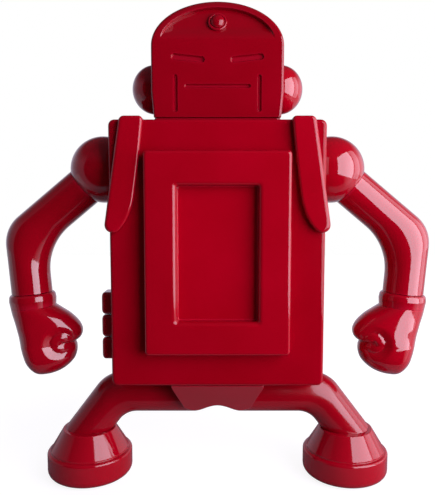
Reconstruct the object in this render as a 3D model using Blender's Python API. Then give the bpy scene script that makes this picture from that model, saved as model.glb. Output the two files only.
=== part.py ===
"""Toy robot, 327 mm tall, that stands on two round boots and carries a picture frame on its chest.

It faces -Y, its own right side is -X, and the origin is on the floor midway between the boots.
Sizes are in millimetres, and a skin is scaled to metres as it is made.
"""
import math

import bmesh
import bpy
from mathutils import Vector

MILLIMETRE = 0.001
GAP = 0.3
ROUND_SIDES = 20
INNER_SIDES = 12
SMALL_SIDES = 8
EDGE_STEPS = 2
SIDES = {"right": -1, "left": 1}

# Colour, roughness and metallic value of each material
RED = ((0.35, 0.0, 0.007), 0.12, 0.0)
RUBBER = ((0.03, 0.03, 0.03), 0.8, 0.0)
STEEL = ((0.6, 0.6, 0.6), 0.3, 1.0)
BLACK = ((0.02, 0.02, 0.02), 0.45, 0.0)
GREEN = ((0.02, 0.16, 0.06), 0.5, 0.0)
GREY = ((0.12, 0.12, 0.13), 0.35, 0.0)

# Torso
TORSO_HALF_WIDTH = 69.5
TORSO_FRONT = -36.0
TORSO_BACK = 36.0
TORSO_BOTTOM = 76.0
TORSO_TOP = 249.0
TORSO_MIDDLE = (TORSO_BOTTOM + TORSO_TOP) / 2
TORSO_CORNER = 4.0
TORSO_EDGE = 2.0
WALL = 2.5
COVER_SEAM = 32.0
COVER_EDGE = 2.5
LIP_DEPTH = 3.0
LIP_WIDTH = 2.0
TORSO_WINDOW_HALF = (29.0, 46.25)
COVER_SCREWS = ((-38, 240), (38, 240), (-61, 84), (61, 84))

# Chest frame and straps
PROUD_FRONT = -45.0
FRAME_HALF = (46.5, 65.0)
FRAME_EDGE = 1.4
WINDOW_HALF = (25.75, 43.3)
WINDOW_EDGE = 3.0
FRAME_CENTRE = (0.0, 163.75)
FRAME_PEG = (37.0, 55.0)
PEG_RADIUS = 2.2
PANEL_FACE = -37.5
PANEL_HALF = (WINDOW_HALF[0] - GAP, WINDOW_HALF[1] - GAP)
PANEL_FLANGE_HALF = (32.0, 49.0)
PANEL_FLANGE = 2.0
STRAP_FRONT = -41.0
STRAP_BACK = 45.0
STRAP_TOP = 250.7
STRAP_LENGTH = 73.5
STRAP_INNER = 46.7
STRAP_OUTER = 61.7
STRAP_TIP = 66.5
STRAP_CORNER = 3.0
STRAP_EDGE = 1.5

# Head
HEAD_HALF_WIDTH = 42.7
HEAD_HALF_DEPTH = 28.0
HEAD_BOTTOM = 251.0
HEAD_SPRING = 296.3
HEAD_TOP = 327.0
BROW = 300.7
HEAD_TAPER = 1.4
HEAD_TAPER_TOP = 268.0
HEAD_SQUARENESS = 2.0
HEAD_SIDE_EDGE = 1.6
HEAD_TOP_EDGE = 4.5
HEAD_HOLLOW = 10.0
FOREHEAD_LEAN = 0.16
FOREHEAD_CURVE = 0.006
DISH_DEPTH = 3.0
DISH_RISE = 4.0
RIM_WIDTH = 4.9
RIM_WALL = 1.2
EAR_RADIUS = 16.5
EAR_REACH = 15.5
EAR_HEIGHT = 273.6
EAR_PEG = 4.0
LAMP_HEIGHT = 311.8
LAMP_RADIUS = 6.2
LAMP_PEG = 3.0
HEAD_SCREWS = ((-27, 262), (27, 262))
ENGRAVING = 1.5

# Swivels
WAIST_RADIUS = 10.0
COLLAR_RADIUS = 18.0
NECK_RADIUS = 8.0
NECK_PLATE_HALF = (41.0, 27.7)
SHOULDER_RADIUS = 6.0
WRIST_RADIUS = 4.0
WAIST_GROOVE = (TORSO_BOTTOM + 4.5, TORSO_BOTTOM + 6.1)
NECK_GROOVE = (TORSO_TOP - 5.3, TORSO_TOP - 3.7)
SHOULDER_GROOVE = (-16.0, -14.4)
GROOVE_DEPTH = 2.0
CLIP_PLAY = 0.2
HIP_SCREW_HOLE = 1.8

# Arms, measured on the left side
BALL_CENTRE = Vector((79.0, 0.0, 219.0))
BALL_RADIUS = 23.0
BALL_FLAT = 70.0
ELBOW = Vector((135.2, 0.0, 172.3))
WRIST = Vector((132.04, 0.0, 132.5))
ARM_RADIUS = 14.0
ARM_BORE = 12.0
ELBOW_OUTER_BEND = 24.0
ELBOW_INNER_BEND = 40.0
CUFF_RADIUS = 16.2
CUFF_LENGTH = 9.7
FIST_END = 59.0
FIST_DEPTH = 19.0
FIST_MIDDLE = 0.34
FIST_SWELL = (10.0, 46.0)
FIST_CLOSING = 34.0
FIST_ROUNDING = 0.92
PEG_REACH = 22.0

# Legs and boots, measured on the left side
BAR_HEIGHT = 60.4
LEG_RADIUS = 14.0
LEG_BORE = 11.4
HIP_OUTER_BEND = 24.0
HIP_INNER_BEND = 17.0
HIP = Vector((72.6, 0.0, BAR_HEIGHT))
LEG_LEAN = math.radians(37.2)
LEG_END_HEIGHT = 27.5
BOOT_X = 92.8
BOOT_RADIUS = 30.2
BOOT_CAVITY = 24.0
PELVIS_LOBE = 17.0
PELVIS_LOW = 52.0
PELVIS_NOTCH = 5.0
BAR_NOTCH = 4.2
NOTCH_TILT = math.radians(20.8)
PELVIS_PEGS = (-12.0, 12.0)
PELVIS_PEG_RADIUS = 3.0

# Keys on the right side of the torso
KEY_HEIGHTS = (128.8, 113.4, 98.0)
KEY_Y = -16.0
KEY_HALF = (8.0, 7.4)
KEY_TIP = -78.0
KEY_ROUNDING = 2.4
KEY_ROOM = 0.4
FLANGE = (-66.6, -64.9)
PLUNGER_END = -62.0

# Electric parts inside the torso
BOARD_FACE = -58.0
BOARD_THICKNESS = 1.6
BOARD_POSTS = ((-30.4, 92), (-30.4, 132.5), (16, 92), (16, 132.5))
SPEAKER_HEIGHT = 205.0
GRILLE_PITCH = 6.0
CELL_HEIGHT = 125.8
CELL_RADIUS = 7.2
CELL_HALF_LENGTH = 25.2
BATTERY_BOX_HALF = (18.0, 31.0)
BATTERY_BOX_HEIGHT = 126.0
HATCH_HALF = (19.0, 34.5)
HATCH_HEIGHT = 129.0
DOOR_SCREW_HEIGHT = 159.2
LEAD_RADIUS = 1.2


def clear_scene():
    for obj in list(bpy.data.objects):
        bpy.data.objects.remove(obj, do_unlink=True)


def finish(obj, look):
    """Give the object a material of its own."""
    colour, roughness, metallic = look
    material = bpy.data.materials.new(obj.name + "_finish")
    material.use_nodes = True
    shader = material.node_tree.nodes["Principled BSDF"]
    shader.inputs["Base Color"].default_value = (*colour, 1.0)
    shader.inputs["Roughness"].default_value = roughness
    shader.inputs["Metallic"].default_value = metallic
    obj.data.materials.append(material)


def join_rows(skin, row, after):
    count = max(len(row), len(after))
    for i in range(count):
        j = (i + 1) % count
        if len(row) == 1:
            skin.faces.new((row[0], after[j], after[i]))
        elif len(after) == 1:
            skin.faces.new((row[i], row[j], after[0]))
        else:
            skin.faces.new((row[i], row[j], after[j], after[i]))


def cap(skin, ring, striped):
    """Close a ring with one flat face, or with level stripes between its left and right halves."""
    if not striped:
        skin.faces.new(ring)
        return
    last = len(ring) - 1
    top = last // 2
    for i in range(top - 1):
        skin.faces.new((ring[i], ring[i + 1], ring[last - 1 - i], ring[last - i]))
    skin.faces.new((ring[top - 1], ring[top], ring[top + 1]))


def piece(name, rings, look, looped=False, striped=False):
    """A closed body through rings of points. A ring of one point is a pole."""
    skin = bmesh.new()
    rows = [[skin.verts.new(Vector(point) * MILLIMETRE) for point in ring] for ring in rings]
    followers = rows[1:] + rows[:1] if looped else rows[1:]
    for row, after in zip(rows, followers):
        join_rows(skin, row, after)
    if not looped:
        for end in (rows[0], rows[-1]):
            if len(end) > 1:
                cap(skin, end, striped)
    bmesh.ops.recalc_face_normals(skin, faces=skin.faces)
    mesh = bpy.data.meshes.new(name)
    skin.to_mesh(mesh)
    skin.free()
    obj = bpy.data.objects.new(name, mesh)
    bpy.context.scene.collection.objects.link(obj)
    finish(obj, look)
    return obj


def alter(target, tool, operation):
    """Cut the tool out of the target, or join it on, and hide the tool."""
    modifier = target.modifiers.new(tool.name, "BOOLEAN")
    modifier.operation = operation
    modifier.object = tool
    modifier.solver = "EXACT"
    tool.hide_render = True
    tool.display_type = "WIRE"


def pivot(name, point, members, parent=None):
    """An empty on a joint's axis that carries the members of a moving body."""
    empty = bpy.data.objects.new(name, None)
    bpy.context.scene.collection.objects.link(empty)
    empty.parent = parent
    here = Vector(point) * MILLIMETRE
    empty["world"] = list(here)
    empty.location = here - Vector(parent["world"]) if parent else here
    for member in members:
        member.parent = empty
        member.location = -here
    return empty


def rounded_rectangle(half, radius, centre=(0.0, 0.0), steps=2):
    points = []
    for quarter, (side_u, side_v) in enumerate(((1, 1), (-1, 1), (-1, -1), (1, -1))):
        for step in range(steps + 1):
            turn = math.pi / 2 * (quarter + step / steps)
            u = centre[0] + side_u * (half[0] - radius) + radius * math.cos(turn)
            v = centre[1] + side_v * (half[1] - radius) + radius * math.sin(turn)
            points.append((u, v))
    return points


def facing(points, depth):
    """A ring of points in an upright plane that faces the viewer."""
    return [(u, depth, v) for u, v in points]


def sideways(points, across):
    return [(across, u, v) for u, v in points]


def level(points, height):
    return [(u, v, height) for u, v in points]


def box(name, low, high, look=BLACK):
    corners = [(low[0], low[2]), (high[0], low[2]), (high[0], high[2]), (low[0], high[2])]
    return piece(name, [facing(corners, low[1]), facing(corners, high[1])], look)


def hoop(centre, axis, radius, sides):
    """A circle of points around an axis, always started from the same side."""
    axis = Vector(axis).normalized()
    helper = Vector((0, 1, 0)) if abs(axis.y) < 0.9 else Vector((1, 0, 0))
    first = axis.cross(helper).normalized()
    second = axis.cross(first)
    turns = [math.tau * step / sides for step in range(sides)]
    return [Vector(centre) + radius * (first * math.cos(turn) + second * math.sin(turn)) for turn in turns]


def turned(name, origin, axis, profile, look, sides=ROUND_SIDES, looped=False):
    """A lathe shape from points that give a radius and a distance along the axis."""
    axis = Vector(axis).normalized()
    rings = []
    for radius, along in profile:
        centre = Vector(origin) + axis * along
        rings.append(hoop(centre, axis, radius, sides) if radius else [centre])
    return piece(name, rings, look, looped)


def rod(name, start, end, radius, look=BLACK, sides=SMALL_SIDES):
    axis = Vector(end) - Vector(start)
    return piece(name, [hoop(start, axis, radius, sides), hoop(end, axis, radius, sides)], look)


def drill(target, start, end, radius, sides=SMALL_SIDES):
    """Cut a hole whose flats, not its corners, are at the radius."""
    corner = radius / math.cos(math.pi / sides)
    alter(target, rod(target.name + "_drill", start, end, corner, sides=sides), "DIFFERENCE")


def boss(target, start, end, radius, hole, hole_end):
    """A screw post that stands on a wall, with a blind hole in its free end."""
    alter(target, rod(target.name + "_boss", start, end, radius), "UNION")
    past = Vector(end) + (Vector(end) - Vector(start)).normalized()
    drill(target, past, hole_end, hole)


def screw(name, seat, direction, head_radius, head_height, shank_radius, length):
    """A pan head screw, from the centre of its head's underside and the way that its shank goes."""
    profile = [
        (0, -head_height),
        (head_radius * 0.7, -head_height),
        (head_radius, -head_height * 0.5),
        (head_radius, 0),
        (shank_radius, 0),
        (shank_radius, length - shank_radius),
        (0, length),
    ]
    return turned(name, seat, direction, profile, STEEL, SMALL_SIDES)


def washer(name, origin, axis, bore, radius, span):
    corner = bore / math.cos(math.pi / INNER_SIDES)
    low, high = span
    profile = [(corner, low), (radius, low), (radius, high), (corner, high)]
    return turned(name, origin, axis, profile, BLACK, INNER_SIDES, looped=True)


def clip(name, origin, axis, post_radius, radius, groove):
    """A snap ring, which is open at one side so that it can be pushed into a post's groove."""
    bore = post_radius - GROOVE_DEPTH + GAP
    low, high = groove[0] + CLIP_PLAY, groove[1] - CLIP_PLAY
    opening = math.radians(60)
    axis = Vector(axis).normalized()
    helper = Vector((0, 1, 0))
    other = axis.cross(helper)
    sweep = (math.tau - opening) / SMALL_SIDES
    corner = bore / math.cos(sweep / 2)
    corners = ((corner, low), (radius, low), (radius, high), (corner, high))
    rings = []
    for step in range(SMALL_SIDES + 1):
        turn = opening / 2 + sweep * step
        spoke = helper * math.cos(turn) + other * math.sin(turn)
        rings.append([Vector(origin) + spoke * reach + axis * along for reach, along in corners])
    return piece(name, rings, STEEL)


def oval(centre, way, half_width, half_depth, sides):
    """A ring round a tube that is cut at a slant, started from the same side as a hoop."""
    first = way.cross(Vector((0, 1, 0))).normalized()
    second = way.cross(first) * half_depth
    reach = half_width * math.copysign(1.0, half_width.dot(first))
    turns = [math.tau * step / sides for step in range(sides)]
    return [centre + reach * math.cos(turn) + second * math.sin(turn) for turn in turns]


def tube_bend(corners, radius, outer_bend, inner_bend, steps=7):
    """Rings round the middle one of three corners, with its own fillet outside and inside the bend."""
    before, corner, after = corners
    arrive = (corner - before).normalized()
    leave = (after - corner).normalized()
    turn = arrive.angle(leave)
    inward = (leave - arrive * arrive.dot(leave)).normalized()
    inside = (leave - arrive).normalized() / math.cos(turn / 2)
    outer_centre = corner - inside * (radius - outer_bend)
    inner_centre = corner + inside * (radius + inner_bend)
    rings = []
    for step in range(steps + 1):
        swing = turn * step / steps
        way = arrive * math.cos(swing) + inward * math.sin(swing)
        outward = arrive * math.sin(swing) - inward * math.cos(swing)
        outer = outer_centre + outward * outer_bend
        inner = inner_centre + outward * inner_bend
        rings.append(oval((outer + inner) / 2, way, (outer - inner) / 2, radius, ROUND_SIDES))
    return rings


def bent_path(corners, bend, steps):
    """Points and directions along a line with rounded corners."""
    first = (corners[1] - corners[0]).normalized()
    stations = [(corners[0], first)]
    for before, corner, after in zip(corners, corners[1:], corners[2:]):
        arrive = (corner - before).normalized()
        leave = (after - corner).normalized()
        turn = arrive.angle(leave)
        start = corner - arrive * bend * math.tan(turn / 2)
        inward = (leave - arrive * arrive.dot(leave)).normalized()
        for step in range(steps + 1):
            swing = turn * step / steps
            point = start + bend * (arrive * math.sin(swing) + inward * (1 - math.cos(swing)))
            stations.append((point, arrive * math.cos(swing) + inward * math.sin(swing)))
    stations.append((corners[-1], (corners[-1] - corners[-2]).normalized()))
    return stations


def open_shell(name, outline, front, rim, wall, edge, look):
    """A tray with a rounded closed face at front and an open rim."""
    toward = 1 if rim > front else -1
    rings = []
    for step in range(EDGE_STEPS + 1):
        turn = math.pi / 2 * step / EDGE_STEPS
        depth = front + toward * edge * (1 - math.cos(turn))
        rings.append(facing(outline(edge * (1 - math.sin(turn))), depth))
    rings.append(facing(outline(0), rim))
    rings.append(facing(outline(wall), rim))
    rings.append(facing(outline(wall), front + toward * wall))
    return piece(name, rings, look)


def mirrored(point, side):
    return Vector((point.x * side, point.y, point.z))


# Hips, legs and boots

def leg_direction(side):
    return Vector((side * math.sin(LEG_LEAN), 0, -math.cos(LEG_LEAN)))


def leg_end(side):
    length = (BAR_HEIGHT - LEG_END_HEIGHT) / math.cos(LEG_LEAN)
    return mirrored(HIP, side) + leg_direction(side) * length


def wave(x):
    """1 in the middle of the pelvis, 0 at the lobes beside it."""
    return (1 + math.cos(math.pi * x / PELVIS_LOBE)) / 2


def bar_rings(radius):
    """Rings along the bar between the legs, whose underside is raised in the middle."""
    rings = []
    steps = 8
    for step in range(steps + 1):
        x = PELVIS_LOBE * (2 * step / steps - 1)
        lowest = BAR_HEIGHT - radius / math.cos(NOTCH_TILT) + BAR_NOTCH * wave(x)
        ring = hoop((x, 0, BAR_HEIGHT), (1, 0, 0), radius, ROUND_SIDES)
        rings.append([(x, y, max(z, lowest - math.tan(NOTCH_TILT) * y)) for _, y, z in ring])
    return rings


def leg_rings(radius, outer_bend, inner_bend):
    corners = [leg_end(-1), mirrored(HIP, -1), mirrored(HIP, 1), leg_end(1)]
    rings = [hoop(corners[0], -leg_direction(-1), radius, ROUND_SIDES)]
    rings += tube_bend(corners[:3], radius, outer_bend, inner_bend)
    rings += bar_rings(radius)
    rings += tube_bend(corners[1:], radius, outer_bend, inner_bend)
    rings.append(hoop(corners[3], leg_direction(1), radius, ROUND_SIDES))
    return rings


def make_leg_arch():
    wall = LEG_RADIUS - LEG_BORE
    outer = leg_rings(LEG_RADIUS, HIP_OUTER_BEND, HIP_INNER_BEND)
    inner = leg_rings(LEG_BORE, HIP_OUTER_BEND - wall, HIP_INNER_BEND + wall)
    arch = piece("leg_arch", outer + inner[::-1], RED, looped=True)
    drill(arch, (0, 0, BAR_HEIGHT), (0, 0, BAR_HEIGHT + 20), WAIST_RADIUS + GAP, ROUND_SIDES)
    drill(arch, (0, 0, BAR_HEIGHT - 20), (0, 0, BAR_HEIGHT), HIP_SCREW_HOLE)
    for x in PELVIS_PEGS:
        drill(arch, (x, -LEG_RADIUS - 5, BAR_HEIGHT), (x, -LEG_BORE + 3, BAR_HEIGHT), PELVIS_PEG_RADIUS + GAP)
    return arch


def make_pelvis_cover():
    """A wedge in front of the leg arch, with a lower edge of two lobes and a notch between them."""
    top, rear = TORSO_BOTTOM - 2 * GAP, -11.0
    front_top, slope = -33.5, 0.68
    steps = 4
    lower_edge = []
    for step in range(steps + 1):
        x = PELVIS_LOBE * step / steps
        lower_edge.append((x, PELVIS_LOW + PELVIS_NOTCH * wave(x)))
    lower_edge += [(22.5, 54.0), (31.0, 73.5)]
    stations = [(-x, low) for x, low in reversed(lower_edge)] + lower_edge[1:]
    rings = []
    for x, low in stations:
        front_low = front_top + slope * (top - low)
        rings.append([(x, front_top, top), (x, front_low, low), (x, rear, low), (x, rear, top)])
    cover = piece("pelvis_cover", rings, RED)
    drill(cover, (-40, 0, BAR_HEIGHT), (40, 0, BAR_HEIGHT), LEG_RADIUS + GAP, ROUND_SIDES)
    drill(cover, (0, 0, TORSO_BOTTOM - 1.6), (0, 0, TORSO_BOTTOM + 4), COLLAR_RADIUS + GAP, ROUND_SIDES)
    for x in PELVIS_PEGS:
        peg = rod("pelvis_peg", (x, -17, BAR_HEIGHT), (x, -LEG_BORE + 1, BAR_HEIGHT), PELVIS_PEG_RADIUS)
        alter(cover, peg, "UNION")
    return cover


def make_waist_post():
    """The post stands in the leg arch, carries the torso on a collar and has a groove for its clip."""
    foot, shoulder = BAR_HEIGHT - 6, BAR_HEIGHT - 3.5
    collar_top = TORSO_BOTTOM - GAP
    collar_low = collar_top - 1.0
    groove_low, groove_top = WAIST_GROOVE
    groove_radius = WAIST_RADIUS - GROOVE_DEPTH
    top = TORSO_BOTTOM + 9
    screw_seat = top - 4
    foot_radius, screw_room = 4.0, 4.2
    profile = [
        (HIP_SCREW_HOLE, foot), (foot_radius, foot), (foot_radius, shoulder), (WAIST_RADIUS, shoulder),
        (WAIST_RADIUS, collar_low), (COLLAR_RADIUS, collar_low), (COLLAR_RADIUS, collar_top),
        (WAIST_RADIUS, collar_top), (WAIST_RADIUS, groove_low), (groove_radius, groove_low),
        (groove_radius, groove_top), (WAIST_RADIUS, groove_top), (WAIST_RADIUS, top - 1),
        (WAIST_RADIUS - 1, top), (screw_room, top), (screw_room, screw_seat), (HIP_SCREW_HOLE, screw_seat),
    ]
    return turned("waist_post", (0, 0, 0), (0, 0, 1), profile, BLACK, INNER_SIDES, looped=True)


def make_boot(word, side):
    profile = [
        (0, 34), (18.6, 34), (19.3, 33.3), (28.0, 18.8), (29.4, 17.6), (BOOT_RADIUS, 15.4), (BOOT_RADIUS, 6),
        (28.8, 2.2), (25.6, 0.6), (BOOT_CAVITY, 0.6), (BOOT_CAVITY, 13), (23, 14), (0, 14),
    ]
    boot = turned(word + "_boot", (side * BOOT_X, 0, 0), (0, 0, 1), profile, RED, 24)
    end = leg_end(side)
    way = leg_direction(side)
    drill(boot, end - way * 40, end + way * 0.4, LEG_RADIUS + 0.4, ROUND_SIDES)
    sole_profile = [(0, 0), (BOOT_CAVITY - 1.2, 0), (BOOT_CAVITY - 0.4, 0.8), (BOOT_CAVITY - 0.4, 3), (0, 3)]
    sole = turned(word + "_sole", (side * BOOT_X, 0, 0), (0, 0, 1), sole_profile, RUBBER, 16)
    return [boot, sole]


def make_hips():
    members = [make_leg_arch(), make_pelvis_cover(), make_waist_post()]
    members.append(clip("waist_clip", (0, 0, 0), (0, 0, 1), WAIST_RADIUS, 13, WAIST_GROOVE))
    members.append(screw("hip_screw", (0, 0, TORSO_BOTTOM + 5.3), (0, 0, -1), 3.6, 2.2, 1.4, 30))
    for word, side in SIDES.items():
        members += make_boot(word, side)
    return members


# Torso

def torso_outline(inset):
    half = (TORSO_HALF_WIDTH - inset, (TORSO_TOP - TORSO_BOTTOM) / 2 - inset)
    return rounded_rectangle(half, max(TORSO_CORNER - inset, 0.8), (0, TORSO_MIDDLE))


def make_torso_shell():
    shell = open_shell("torso_shell", torso_outline, TORSO_FRONT, COVER_SEAM, WALL, TORSO_EDGE, RED)
    across, lift = TORSO_WINDOW_HALF
    middle = FRAME_CENTRE[1]
    window = box("torso_window", (-across, -40, middle - lift), (across, -30, middle + lift))
    alter(shell, window, "DIFFERENCE")
    half_room = KEY_HALF[0] + KEY_ROOM
    low = KEY_HEIGHTS[-1] - KEY_HALF[1] - KEY_ROOM
    high = KEY_HEIGHTS[0] + KEY_HALF[1] + KEY_ROOM
    alter(shell, box("key_slot", (-75, KEY_Y - half_room, low), (-62, KEY_Y + half_room, high)), "DIFFERENCE")
    drill(shell, (0, 0, TORSO_TOP - 8), (0, 0, TORSO_TOP + 5), NECK_RADIUS + GAP, INNER_SIDES)
    drill(shell, (0, 0, TORSO_BOTTOM - 5), (0, 0, TORSO_BOTTOM + 8), WAIST_RADIUS + GAP, INNER_SIDES)
    for side in SIDES.values():
        low_end, high_end = (side * 60, 0, BALL_CENTRE.z), (side * 76, 0, BALL_CENTRE.z)
        drill(shell, low_end, high_end, SHOULDER_RADIUS + GAP, INNER_SIDES)
    for x, z in frame_pegs():
        drill(shell, (x, -40, z), (x, -30, z), PEG_RADIUS + GAP)
    for x, z in COVER_SCREWS:
        boss(shell, (x, TORSO_FRONT + 1, z), (x, 28.5, z), 3.8, 1.6, (x, 8, z))
    for y, z in BOARD_POSTS:
        post = rod("board_post", (-TORSO_HALF_WIDTH + 1, y, z), (BOARD_FACE - GAP, y, z), 2.2)
        alter(shell, post, "UNION")
    return shell


def make_back_cover():
    """The cover closes the shell with a lip inside it, and carries the rear ends of the straps."""
    lip_out, lip_in = WALL + GAP, WALL + GAP + LIP_WIDTH
    front = COVER_SEAM + GAP
    rings = [
        facing(torso_outline(lip_in), front),
        facing(torso_outline(lip_in), front - LIP_DEPTH),
        facing(torso_outline(lip_out), front - LIP_DEPTH),
        facing(torso_outline(lip_out), front),
        facing(torso_outline(0), front),
    ]
    for step in range(EDGE_STEPS + 1):
        turn = math.pi / 2 * step / EDGE_STEPS
        inset = COVER_EDGE * (1 - math.cos(turn))
        rings.append(facing(torso_outline(inset), TORSO_BACK - COVER_EDGE * (1 - math.sin(turn))))
    cover = piece("back_cover", rings, RED)
    for side in SIDES.values():
        relief = strap_prism("strap_relief", side, STRAP_BACK, TORSO_BACK - 1.5)
        alter(cover, relief, "UNION")
    for x, z in COVER_SCREWS:
        drill(cover, (x, 25, z), (x, 40, z), 2.0)
        drill(cover, (x, 34.3, z), (x, 40, z), 3.9)
    for row in range(-2, 3):
        outline = rounded_rectangle((15, 1.3), 1.2, (0, SPEAKER_HEIGHT + GRILLE_PITCH * row))
        grille = piece("grille_slot", [facing(outline, 25), facing(outline, 40)], BLACK)
        alter(cover, grille, "DIFFERENCE")
    across, lift = HATCH_HALF
    hatch = box("battery_hatch", (-across, 25, HATCH_HEIGHT - lift), (across, 40, HATCH_HEIGHT + lift))
    alter(cover, hatch, "DIFFERENCE")
    return cover


def frame_outline(inset):
    return rounded_rectangle((FRAME_HALF[0] - inset, FRAME_HALF[1] - inset), 2.0, FRAME_CENTRE)


def window_outline(grow):
    return rounded_rectangle((WINDOW_HALF[0] + grow, WINDOW_HALF[1] + grow), 1.5, FRAME_CENTRE)


def quarter_round(size, steps):
    """How far in and how deep a rounded edge runs, from the face round to the wall."""
    turns = [math.pi / 2 * step / steps for step in range(steps + 1)]
    return [(size * (1 - math.sin(turn)), size * (1 - math.cos(turn))) for turn in turns]


def frame_pegs():
    """Where the frame's pegs go through the front wall."""
    x, lift = FRAME_PEG
    return [(side * x, FRAME_CENTRE[1] + way * lift) for side in (-1, 1) for way in (-1, 1)]


def make_chest():
    back = TORSO_FRONT - GAP
    rings = [facing(frame_outline(0), back)]
    for inset, depth in reversed(quarter_round(FRAME_EDGE, 2)):
        rings.append(facing(frame_outline(inset), PROUD_FRONT + depth))
    for inset, depth in quarter_round(WINDOW_EDGE, 4):
        rings.append(facing(window_outline(inset), PROUD_FRONT + depth))
    rings.append(facing(window_outline(0), back))
    frame = piece("chest_frame", rings, RED, looped=True)
    for x, z in frame_pegs():
        alter(frame, rod("frame_peg", (x, -40, z), (x, -31.5, z), PEG_RADIUS), "UNION")
    return [frame, make_panel()]


def make_panel():
    """A plug that fills most of the frame's window, with a flange behind the torso's front wall."""
    seat = TORSO_FRONT + WALL + GAP
    plug = rounded_rectangle(PANEL_HALF, 1.2, FRAME_CENTRE)
    flange = rounded_rectangle(PANEL_FLANGE_HALF, 2.0, FRAME_CENTRE)
    rings = [facing(plug, PANEL_FACE), facing(plug, seat), facing(flange, seat)]
    rings.append(facing(flange, seat + PANEL_FLANGE))
    return piece("chest_panel", rings, RED)


def quarter_oval(along, size):
    """Falls from 1 to 0 along a quarter of an oval of the given size."""
    return math.sqrt(max(1 - (max(along, 0.0) / size) ** 2, 0.0))


def strap_outline(side, inset=0.0, steps=10):
    """A band that leans outward as it comes down, to a round tip near its outer edge."""
    length = STRAP_LENGTH - 2 * inset
    corner = STRAP_CORNER - inset
    inner_tip, outer_tip = 22.0, 6.0
    inner, outer = [], []
    for step in range(steps + 1):
        drop = length * (1 - math.cos(math.pi * step / steps)) / 2
        trim = corner * (1 - quarter_oval(corner - drop, corner))
        inner_edge = STRAP_INNER + inset + trim + 0.09 * drop + 0.0006 * drop * drop
        outer_edge = STRAP_OUTER - inset - trim + 0.15 * drop
        inner_edge += (STRAP_TIP - inner_edge) * (1 - quarter_oval(drop - length + inner_tip, inner_tip))
        outer_edge += (STRAP_TIP - outer_edge) * (1 - quarter_oval(drop - length + outer_tip, outer_tip))
        height = STRAP_TOP - inset - drop
        inner.append((side * inner_edge, height))
        if step < steps:
            outer.append((side * outer_edge, height))
    return inner + outer[::-1]


def strap_prism(name, side, proud, back):
    """A strap whose outward face, at the depth called proud, has rounded edges."""
    toward = 1 if proud < back else -1
    rings = [
        facing(strap_outline(side, STRAP_EDGE), proud),
        facing(strap_outline(side, STRAP_EDGE * 0.3), proud + toward * STRAP_EDGE * 0.3),
        facing(strap_outline(side), proud + toward * STRAP_EDGE),
        facing(strap_outline(side), back),
    ]
    return piece(name, rings, RED)


def make_strap(word, side):
    strap = strap_prism(word + "_strap", side, STRAP_FRONT, COVER_SEAM - GAP)
    room = box("strap_room", (-80, TORSO_FRONT - GAP, 70), (80, 60, TORSO_TOP + GAP))
    alter(strap, room, "DIFFERENCE")
    return strap


def battery_box_outline(inset):
    half = (BATTERY_BOX_HALF[0] - inset, BATTERY_BOX_HALF[1] - inset)
    return rounded_rectangle(half, max(2 - inset, 0.6), (0, BATTERY_BOX_HEIGHT))


def make_cell(number, x, up):
    """An AA cell with a cap at its positive end."""
    end, cap_height, cap_radius, chamfer = CELL_HALF_LENGTH, 1.2, 2.6, 0.6
    shoulder = end - cap_height
    profile = [
        (0, -end), (CELL_RADIUS - chamfer, -end), (CELL_RADIUS, -end + chamfer),
        (CELL_RADIUS, shoulder - chamfer), (CELL_RADIUS - chamfer, shoulder), (cap_radius, shoulder),
        (cap_radius, end), (0, end),
    ]
    return turned(f"battery_{number}", (x, 22, CELL_HEIGHT), (0, 0, up), profile, GREY, INNER_SIDES)


def make_battery_compartment():
    holder = open_shell("battery_box", battery_box_outline, 11, 31.9, 2.2, 1.0, BLACK)
    z = DOOR_SCREW_HEIGHT
    boss(holder, (0, 20, z), (0, 31.6, z), 3.2, 1.4, (0, 22, z))
    outline = rounded_rectangle((HATCH_HALF[0] - GAP, HATCH_HALF[1] - GAP), 1.0, (0, HATCH_HEIGHT))
    door = piece("battery_door", [facing(outline, 33), facing(outline, 35.7)], RED)
    drill(door, (0, 30, z), (0, 40, z), 1.5)
    drill(door, (0, 34.4, z), (0, 40, z), 3.0)
    fastener = screw("battery_door_screw", (0, 34.7, z), (0, -1, 0), 2.6, 0.9, 1.1, 11)
    spacing = CELL_RADIUS + GAP
    return [holder, make_cell(1, -spacing, 1), make_cell(2, spacing, -1), door, fastener]


def make_sound():
    cone = [(0, 14), (10, 14), (10, 24), (19, 28), (20, 28), (20, 31.9), (17, 31.9), (6, 27), (0, 28)]
    speaker = turned("speaker", (0, 0, SPEAKER_HEIGHT), (0, 1, 0), cone, BLACK, 16)
    board_back = BOARD_FACE + BOARD_THICKNESS
    board = box("circuit_board", (BOARD_FACE, -32.5, 88.5), (board_back, 20, 136), GREEN)
    alter(board, box("sound_chip", (BOARD_FACE + 1, -16, 99), (board_back + 2, -4, 111), BLACK), "UNION")
    members = [speaker, board]
    lead_end = board_back + GAP
    routes = {
        "battery_lead": (15, ((-18.3, 110), (-37, 110), (-37, 122), (lead_end, 122))),
        "speaker_lead": (18, ((-10.4, SPEAKER_HEIGHT), (-44, SPEAKER_HEIGHT), (-44, 130), (lead_end, 130))),
    }
    for name, (depth, route) in routes.items():
        path = bent_path([Vector((x, depth, z)) for x, z in route], 5, 3)
        rings = [hoop(point, way, LEAD_RADIUS, SMALL_SIDES) for point, way in path]
        members.append(piece(name, rings, BLACK))
    return members


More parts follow.
